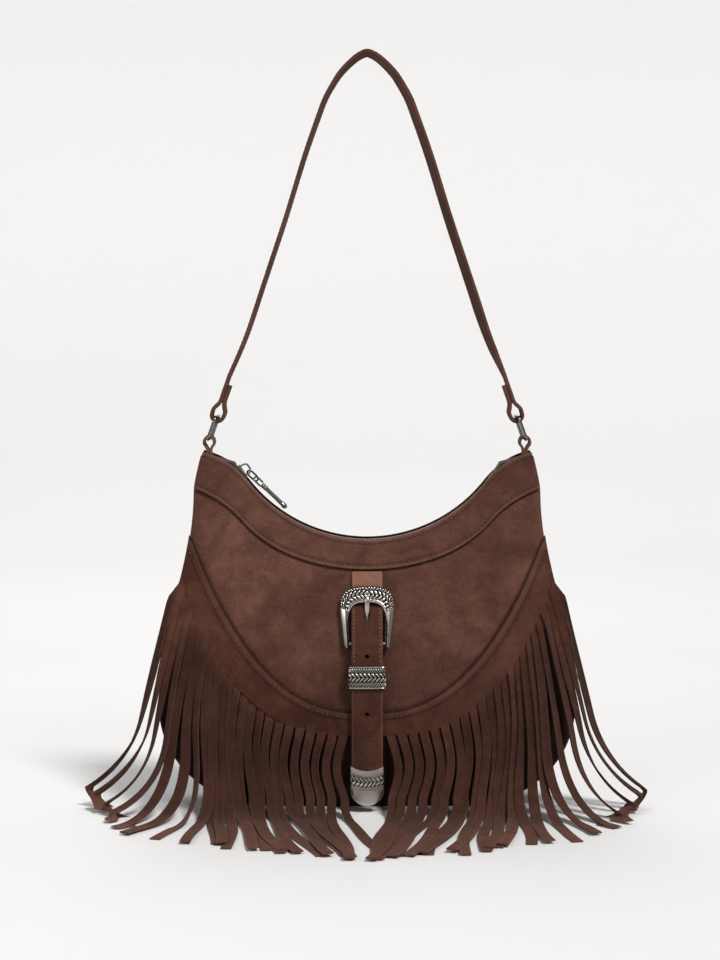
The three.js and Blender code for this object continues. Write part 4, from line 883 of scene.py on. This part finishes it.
def buckle_frame():
    """The frame: legs and a crowned arch between two outlines, with plaited and roped relief on the arch."""
    outer = np.array([(15.6, -4.4), (17.1, 0), (18.7, 13), (20, 24), (20.1, 30), (18.6, 36.5), (15.4, 40),
                      (11, 41.8), (5, 42.8), (0, 42.9)])
    inner = np.array([(14.6, -4.4), (13.1, 0), (13.3, 12), (13.2, 19), (12.6, 24), (10.9, 27.6), (7.6, 29.7),
                      (4, 30.4), (0, 30.6)])
    whole = lambda p: smooth_path(np.concatenate([p, [[-x, y] for x, y in p[-2::-1]]]), 521)
    out, inn = whole(outer), whole(inner)
    middle = (out + inn) / 2
    s = np.concatenate([[0], np.cumsum(np.linalg.norm(np.diff(middle, axis=0), axis=1))])
    s = s - s[-1] / 2
    arch_foot, eye_x, under_c = 24.8, 14.6, -1.7
    t = np.linspace(-1, 1, 45)
    place = inn[:, None] + (out - inn)[:, None] * ((t + 1) / 2)[None, :, None]
    arch = clamp((place[..., 1] - arch_foot - 2.4 * t[None]) / 0.5)
    sm, tm = np.meshgrid(np.abs(s), t, indexing="ij")
    inside = (tm > -0.6) & (tm < 0.52)
    relief = np.where(inside, plait(sm, (tm + 0.04) / 0.56, 3.1, 0.85), 0)
    relief = np.where(tm >= 0.54, rope(sm, (tm - 0.76) / 0.21, 1.9, -0.35), relief)
    lip = dome((tm + 0.82) / 0.2)
    relief = np.where(tm <= -0.62, 0.75 * lip, relief)
    crown = dome(0.9 * tm)
    ridge = -0.15
    leg = 1.2 + 1.55 * clamp(1 - np.abs(tm - ridge) / np.where(tm > ridge, 1.35, 0.95))
    edge_round = np.sqrt(clamp(1 - np.abs(tm) ** 8))
    top = arch * (0.6 + 1.45 * crown + 0.85 * relief) + (1 - arch) * (leg * (0.3 + 0.7 * edge_round) - 0.2)
    hollow = arch * np.where(tm > -0.62, recess(relief), 0) + 0.75 * clamp(1 - np.abs(arch - 0.5) * 2)
    under = np.linspace(1, -1, 7)[1:-1]
    low = inn[:, None] + (out - inn)[:, None] * ((under * 0.9 + 1) / 2)[None, :, None]
    ring = np.concatenate([on_buckle(place[..., 0], place[..., 1], top),
                           on_buckle(low[..., 0], low[..., 1], np.full(low.shape[:2], under_c))], 1)
    points, faces = loft(ring)
    dark = np.concatenate([hollow, np.zeros(low.shape[:2])], 1)
    bar_points, bar_faces = sweep(on_buckle(np.linspace(-eye_x, eye_x, 12), 0.0, 0.0), UP, circle(BAR_WIRE, 18))
    make_object("frame_metal", merge([(points, faces), (bar_points, bar_faces)]), "silver", "frame",
                ["buckle_frame"],
                {"hollow": np.concatenate([dark.ravel(), np.full(len(bar_points), 0.3)])}, 75)


def prong():
    """The prong: a sleeve round the bar and a tapering rounded finger lying on the arch."""
    line = smooth_path([(1.5, 0.1), (8, -0.5), (17, -0.4), (22, 0.5), (27, 2.3), (31, 3.4), (34.2, 3.6)], 50)
    path = on_buckle(0 * line[:, 0], line[:, 0], line[:, 1])
    t = np.linspace(0, 1, 50)
    wide = 1.95 * (1 - 0.12 * t) * clamp((1 - t) * 8 + 0.25) ** 0.5
    a = 2 * np.pi * np.arange(20) / 20
    section = np.stack([wide[:, None] * np.cos(a), 1.15 * clamp((1 - t) * 9 + 0.3)[:, None] ** 0.5 * np.sin(a)
                        + 0.25 * np.cos(a) ** 2], -1)
    finger = sweep(path, X_AXIS, section)
    sleeve_r = 2.55
    b = 2 * np.pi * np.arange(32) / 32
    ring = on_buckle(0 * b, sleeve_r * np.cos(b), sleeve_r * np.sin(b))
    sleeve = sweep(ring, X_AXIS, strip_section(1.8, 0.7), True)
    make_object("prong_metal", merge([finger, sleeve]), "silver", "prong", ["buckle_prong"],
                {"hollow": 0.05})


def keeper():
    """The keeper: a flat loop with rims, two rows of slanted cords and a plaited row between them."""
    foot, height = KEEPER_FOOT, KEEPER_HEIGHT
    hx, hy = BILLET_X + 2.1, BILLET_T / 2 + 1.7
    rim_height, plait_at, plait_half, n = 1.35, 8.4, 3.4, 260
    a = 2 * np.pi * (np.arange(n) + 0.5) / n
    x = hx * np.sign(np.cos(a)) * np.abs(np.cos(a)) ** 0.22
    y = hy * np.sign(np.sin(a)) * np.abs(np.sin(a)) ** 0.5
    loop = even(np.concatenate([np.stack([x, y], 1), [[x[0], y[0]]]]), n + 1)[:-1]
    step = np.roll(loop, -1, 0) - np.roll(loop, 1, 0)
    out = unit(np.stack([step[:, 1], -step[:, 0]], 1))
    s = np.cumsum(np.linalg.norm(step, axis=1) / 2)
    z = np.linspace(0, height, 85)
    sm, zm = np.meshgrid(s, z)
    relief = np.zeros(sm.shape)
    for low, high in ((1.45, 4.9), (11.9, 15.35)):
        t = (zm - (low + high) / 2) / ((high - low) / 2)
        relief = np.where(np.abs(t) < 1, rope(sm, t * 0.96, 1.75, 0.75 if low > plait_at else -0.75), relief)
    t = (zm - plait_at) / plait_half
    relief = np.where(np.abs(t) < 1, plait(sm, t, 3.0, 1.0), relief)
    rim = (zm < rim_height) | (zm > height - rim_height)
    round_rim = dome((np.minimum(zm, height - zm) - 0.68) / 0.72)
    relief = np.where(rim, 0.85 * round_rim, relief)
    lift = -0.5 + 0.9 * relief
    outer = np.stack([loop[:, 0] + out[:, 0] * lift, BILLET_Y + loop[:, 1] + out[:, 1] * lift, foot + zm], -1)
    inner_x = np.clip(loop[:, 0], -(BILLET_X + 0.35), BILLET_X + 0.35)
    inner_y = np.clip(loop[:, 1], -(BILLET_T / 2 + 0.35), BILLET_T / 2 + 0.35)
    inner = np.stack([np.broadcast_to(inner_x, sm.shape), np.broadcast_to(BILLET_Y + inner_y, sm.shape),
                      foot + zm], -1)
    rings = np.concatenate([outer, inner[::-1]])
    points, faces = loft(rings.transpose(0, 1, 2), True)
    # The added 0.12 darkens the keeper's relief all over, crowns too: painted shade; the darkening in recesses is
    # its patina.
    hollow = np.concatenate([np.where(rim, 0, clamp(recess(relief) + 0.12)), np.full(sm.shape, 0.4)])
    make_object("keeper_metal", (points, faces), "silver", "keeper", ["strap_keeper"],
                {"hollow": hollow}, 75)


def billet_tip():
    """The tip: a tongue-shaped cap, plain at its round end, plaited above it, its top edge dipped."""
    foot, top, half = TIP_FOOT, TIP_TOP, TIP_X
    k = np.linspace(0, 1, 120)
    z = foot + (top - foot) * (1 - np.cos(k * np.pi / 2)) ** 0.9
    low = np.clip(foot + half - z, 0, half - 0.15)
    wide = np.sqrt(half ** 2 - low ** 2)
    a = np.linspace(-1, 1, 61)
    am, zm = np.meshgrid(a, z)
    xm = am * wide[:, None]
    dip, band_at, band_half = 4, 22.6, 5.6
    zm = zm - dip * (1 - am ** 2) * clamp((zm - 26) / 9)
    band_t = (zm - band_at - 2.2 * am ** 2) / band_half
    relief = np.where(np.abs(band_t) < 0.62, plait(xm + 40, band_t / 0.62, 3.0, 1.0), 0)
    for centre in (-0.8, 0.8):
        t = (band_t - centre) / 0.17
        relief = np.where(np.abs(t) < 1, rope(xm, t, 1.7, 0.5 * np.sign(centre)), relief)
    zone = np.abs(band_t) < 0.98
    edge = np.sqrt(clamp(1 - np.abs(am) ** 10))
    round_end = np.sqrt(clamp((zm - foot) / 2.2))
    thick = (BILLET_T / 2 + 1.45) * (0.35 + 0.65 * edge * round_end)
    front = np.stack([xm, BILLET_Y - thick - 0.55 * relief - 0.25 * ~zone * edge, zm], -1)
    back = np.stack([xm, BILLET_Y + thick - 0.2, zm], -1)
    points, faces = shell(front, back)
    hollow = np.concatenate([np.where(zone, recess(relief), 0).ravel(), np.full(am.size, 0.1)])
    make_object("tip_metal", (points, faces), "silver", "bag", ["strap_tip"], {"hollow": hollow},
                75)


def wire_loop(centre, a_axis, b_axis, half_a, half_b, corner, wire, n=96, sides=16):
    """A round wire bent to a rounded rectangle: straight sides joined by quarter circles."""
    quarter = np.linspace(0, np.pi / 2, 9)
    pts = []
    for q, (sa, sb) in enumerate(((1, 1), (-1, 1), (-1, -1), (1, -1))):
        angle = quarter + q * np.pi / 2
        pts.append(np.stack([sa * (half_a - corner) + corner * np.cos(angle),
                             sb * (half_b - corner) + corner * np.sin(angle)], 1))
    flat = np.concatenate(pts)
    flat = even(np.concatenate([flat, flat[:1]]), n + 1)[:-1]
    path = centre + flat[:, :1] * a_axis + flat[:, 1:] * b_axis
    normal = np.cross(a_axis, b_axis)
    return sweep(path, normal, circle(wire, sides), True)


def rings():
    """The two rings, each turned a little about its own long axis."""
    for name, body, side in (("left", "ring_l", -1), ("right", "ring_r", 1)):
        foot = np.array([side * RING_FOOT[0], 0, RING_FOOT[1]])
        head = np.array([side * RING_HEAD[0], 0, RING_HEAD[1]])
        up = unit(head - foot)
        half = np.linalg.norm(head - foot) / 2
        across = np.array([side * -math.sin(RING_TURN), math.cos(RING_TURN), 0.0])
        wire = wire_loop((foot + head) / 2, across, up, RING_X, half, RING_CORNER, RING_WIRE)
        make_object("ring_metal_" + name, wire, "gunmetal", body, ["ring_" + name], {"hollow": 0.0})


def zip_pull():
    """The pull: a slim rounded bar turned on the solid's own long axis, with an eye, a collar and a bead."""
    own = np.array([tuple(v.co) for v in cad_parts["zip_pull"].data.vertices]) * 1000
    centre = own.mean(0)
    axes = np.linalg.svd(own - centre, full_matrices=False)[2]
    run, wide = axes[0] * np.sign(axes[0][0]), axes[1]
    start = centre + run * ((own - centre) @ run).min()
    s = np.array([7.6, 8.2, 8.8, 9.6, 10.2, 10.8, 11.4, 12, 14, 27.5, 28.6, 29.4, 30.4, 31.4, 32.3, 33.0])
    radius = np.array([0.9, 1.6, 2.2, 2.2, 1.6, 2.1, 2.1, 1.65, 1.65, 1.75, 1.8, 2.1, 2.15, 2.1, 1.6, 0.6])
    path = start + s[:, None] * run
    section = radius[:, None, None] * circle(1.0, 20) * np.array([1.0, 0.8])
    bar = sweep(path, wide, section)
    eye_half, eye_wide, eye_corner, eye_wire = 4.1, 2.1, 1.9, 0.72
    eye = wire_loop(start + run * eye_half, run, wide, eye_half, eye_wide, eye_corner, eye_wire, 64, 12)
    make_object("pull_metal", merge([bar, eye]), "gunmetal", "pull", ["zip_pull"],
                {"hollow": 0.05})


def hardware_nodes():
    """The zip's teeth, tapes, slider and link and the lining keep their solids and take the finishes here."""
    choice = {"gunmetal": ("zip_teeth_front", "zip_teeth_back", "zip_slider", "zip_link"),
              "zip_cloth": ("zip_tape_front", "zip_tape_back"), "lining": ("lining",)}
    for finish, nodes in choice.items():
        for node in nodes:
            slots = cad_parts[node].data.materials
            slots.clear()
            slots.append(FINISH[finish])


# Stage

def look_from(place, target):
    return (Vector(target) - Vector(place)).to_track_quat("-Z", "Y").to_euler()


def area_light(name, place, target, size, power, colour=(1, 1, 1)):
    data = bpy.data.lights.new(name, "AREA")
    data.shape, data.size, data.energy, data.color = "DISK", size, power, colour
    lamp = bpy.data.objects.new(name, data)
    lamp.location, lamp.rotation_euler = place, look_from(place, target)
    bpy.context.scene.collection.objects.link(lamp)


def sun_light(name, place, angle, power, colour=(1, 1, 1)):
    data = bpy.data.lights.new(name, "SUN")
    data.angle, data.energy, data.color = math.radians(angle), power, colour
    lamp = bpy.data.objects.new(name, data)
    lamp.rotation_euler = look_from(place, (0, 0, 0))
    bpy.context.scene.collection.objects.link(lamp)


# The camera in metres: the photo shows VIEW_HEIGHT at VIEW_DISTANCE; the sensor is in millimetres
VIEW_X, VIEW_DISTANCE, VIEW_HEIGHT, SENSOR = -0.00525, 2.0083, 0.72, 24


def make_stage():
    """A pale floor that curves up into the backdrop, four soft lights and the camera."""
    scene = bpy.context.scene
    bend = np.linspace(0, np.pi / 2, 20)[1:]
    x = np.linspace(-4000, 4000, 12)
    near, far, radius = -3000, 1500, 800
    y = np.concatenate([np.linspace(near, far, 20), far + radius * np.sin(bend), [far + radius] * 2])
    z = np.concatenate([np.zeros(20), radius * (1 - np.cos(bend)), [2000, 4000]])
    grid = np.stack(np.broadcast_arrays(x[None], y[:, None], z[:, None]), -1)
    mesh = bpy.data.meshes.new("floor")
    mesh.from_pydata((grid.reshape(-1, 3) * 0.001).tolist(), [], grid_quads(len(y), 12).tolist())
    mesh.polygons.foreach_set("use_smooth", np.ones(len(mesh.polygons), bool))
    paper = Finish("paper", roughness=0.9, specular_ior_level=0.1)
    where = paper.place()
    back = paper.node("ShaderNodeSeparateXYZ", {}, {0: where}, "Y")
    height = paper.node("ShaderNodeSeparateXYZ", {}, {0: where}, "Z")
    paper.feed(Base_Color=0.715 - ((back + 0.4) * 0.9).clip() * 0.09 + (height - 0.1).clip() * 0.34)
    mesh.materials.append(paper.material)
    floor = bpy.data.objects.new("floor", mesh)
    scene.collection.objects.link(floor)
    world = bpy.data.worlds.new("studio")
    world.use_nodes = True
    world.node_tree.nodes["Background"].inputs[0].default_value = (1, 1, 1, 1)
    world.node_tree.nodes["Background"].inputs[1].default_value = scene.bag_stage.ambient
    scene.world = world
    k = scene.bag_stage.light
    sun_light("key", (0.6, -0.8, 1.3), 16, 3.02 * k, (1, 0.985, 0.965))
    sun_light("fill", (-0.95, -1.0, 0.85), 60, 0.28 * k, (0.975, 0.985, 1))
    area_light("rim", (-0.2, 1.1, 1.3), (0, 0, 0.3), 0.9, 7 * k)
    area_light("glint", (-0.75, -1.15, 0.75), (0, 0, 0.15), 0.45, 2.6 * k)
    data = bpy.data.cameras.new("camera")
    data.sensor_fit, data.sensor_height, data.lens = "VERTICAL", SENSOR, SENSOR * VIEW_DISTANCE / VIEW_HEIGHT
    camera = bpy.data.objects.new("camera", data)
    camera.location = (VIEW_X, -2.0, 0.425)
    camera.rotation_euler = look_from(camera.location, (VIEW_X, 0, 0.2426))
    scene.collection.objects.link(camera)
    scene.camera = camera
    scene.view_settings.view_transform = "Standard"
    scene.view_settings.look = "None"
    scene.view_settings.exposure = 0


# The add-on

def colour(name, description, default):
    return bpy.props.FloatVectorProperty(name=name, description=description, subtype="COLOR", default=default)


class BagColours(bpy.types.PropertyGroup):
    dark: colour("Dark suede", "Colour of the darkest patches", (0.05, 0.019, 0.0125))
    middle: colour("Suede", "Main colour of the suede", (0.088, 0.036, 0.0245))
    light: colour("Brushed suede", "Colour of the brushed patches", (0.14, 0.062, 0.044))
    # This pale colour serves rubbed edges and painted highlights alike.
    rubbed_and_lit: colour("Rubbed edges", "Colour of rubbed edges", (0.22, 0.104, 0.074))
    thread: colour("Thread", "Colour of the seams' thread", (0.085, 0.034, 0.023))
    pale_thread: colour("Billet thread", "Colour of the billet's thread", (0.21, 0.095, 0.068))
    silver: colour("Silver", "Colour of the buckle set", (0.52, 0.475, 0.43))
    gunmetal: colour("Gunmetal", "Colour of rings and zip", (0.21, 0.195, 0.178))


class BagStage(bpy.types.PropertyGroup):
    light: bpy.props.FloatProperty(name="Lights", description="Strength of the four lights", default=1.0, min=0)
    ambient: bpy.props.FloatProperty(name="Ambient", description="Strength of the light all round", default=0.2,
                                     min=0)


def make_body():
    for side, facing in (("front", -1), ("back", 1)):
        panel(side, facing)
        band(side, facing)
    gusset()


def make_buckle():
    billet()
    chape()
    buckle_frame()
    prong()
    keeper()
    billet_tip()


def make_fittings():
    corner_tabs()
    rings()
    zip_pull()
    hardware_nodes()


class BAG_OT_finishes(bpy.types.Operator):
    """Makes the materials"""
    bl_idname = "bag.finishes"
    bl_label = "Finishes"

    def execute(self, context):
        FINISH.update(palette())
        return {"FINISHED"}


class BAG_OT_body(bpy.types.Operator):
    """Makes the panels, bands and gusset"""
    bl_idname = "bag.body"
    bl_label = "Body"

    def execute(self, context):
        make_body()
        return {"FINISHED"}


class BAG_OT_fringe(bpy.types.Operator):
    """Makes the sewn sheet and its strips"""
    bl_idname = "bag.fringe"
    bl_label = "Fringe"

    def execute(self, context):
        fringe()
        return {"FINISHED"}


class BAG_OT_strap(bpy.types.Operator):
    """Makes the shoulder strap and its stitches"""
    bl_idname = "bag.strap"
    bl_label = "Shoulder strap"

    def execute(self, context):
        shoulder_strap()
        return {"FINISHED"}


class BAG_OT_buckle(bpy.types.Operator):
    """Makes the billet, chape, buckle, prong, keeper and tip"""
    bl_idname = "bag.buckle"
    bl_label = "Buckle set"

    def execute(self, context):
        make_buckle()
        return {"FINISHED"}


class BAG_OT_fittings(bpy.types.Operator):
    """Makes the corner tabs and rings and finishes the zip"""
    bl_idname = "bag.fittings"
    bl_label = "Rings and zip"

    def execute(self, context):
        make_fittings()
        return {"FINISHED"}


class BAG_OT_stage(bpy.types.Operator):
    """Makes the floor, the lights and the camera"""
    bl_idname = "bag.stage"
    bl_label = "Stage"

    def execute(self, context):
        make_stage()
        return {"FINISHED"}


OPERATORS = [BAG_OT_finishes, BAG_OT_body, BAG_OT_fringe, BAG_OT_strap, BAG_OT_buckle, BAG_OT_fittings,
             BAG_OT_stage]


class BAG_PT_panel(bpy.types.Panel):
    bl_idname = "BAG_PT_panel"
    bl_label = "Fringed bag"
    bl_space_type = "VIEW_3D"
    bl_region_type = "UI"
    bl_category = "Bag"

    def draw(self, context):
        for made in OPERATORS:
            self.layout.operator(made.bl_idname)


CLASSES = [BagColours, BagStage, BAG_PT_panel] + OPERATORS


def register():
    for made in CLASSES:
        bpy.utils.register_class(made)
    bpy.types.Scene.bag_colours = bpy.props.PointerProperty(type=BagColours)
    bpy.types.Scene.bag_stage = bpy.props.PointerProperty(type=BagStage)


def unregister():
    del bpy.types.Scene.bag_stage
    del bpy.types.Scene.bag_colours
    for made in reversed(CLASSES):
        bpy.utils.unregister_class(made)


def main():
    register()
    for made in OPERATORS:
        group, name = made.bl_idname.split(".")
        getattr(getattr(bpy.ops, group), name)()


if __name__ == "__main__":
    main()
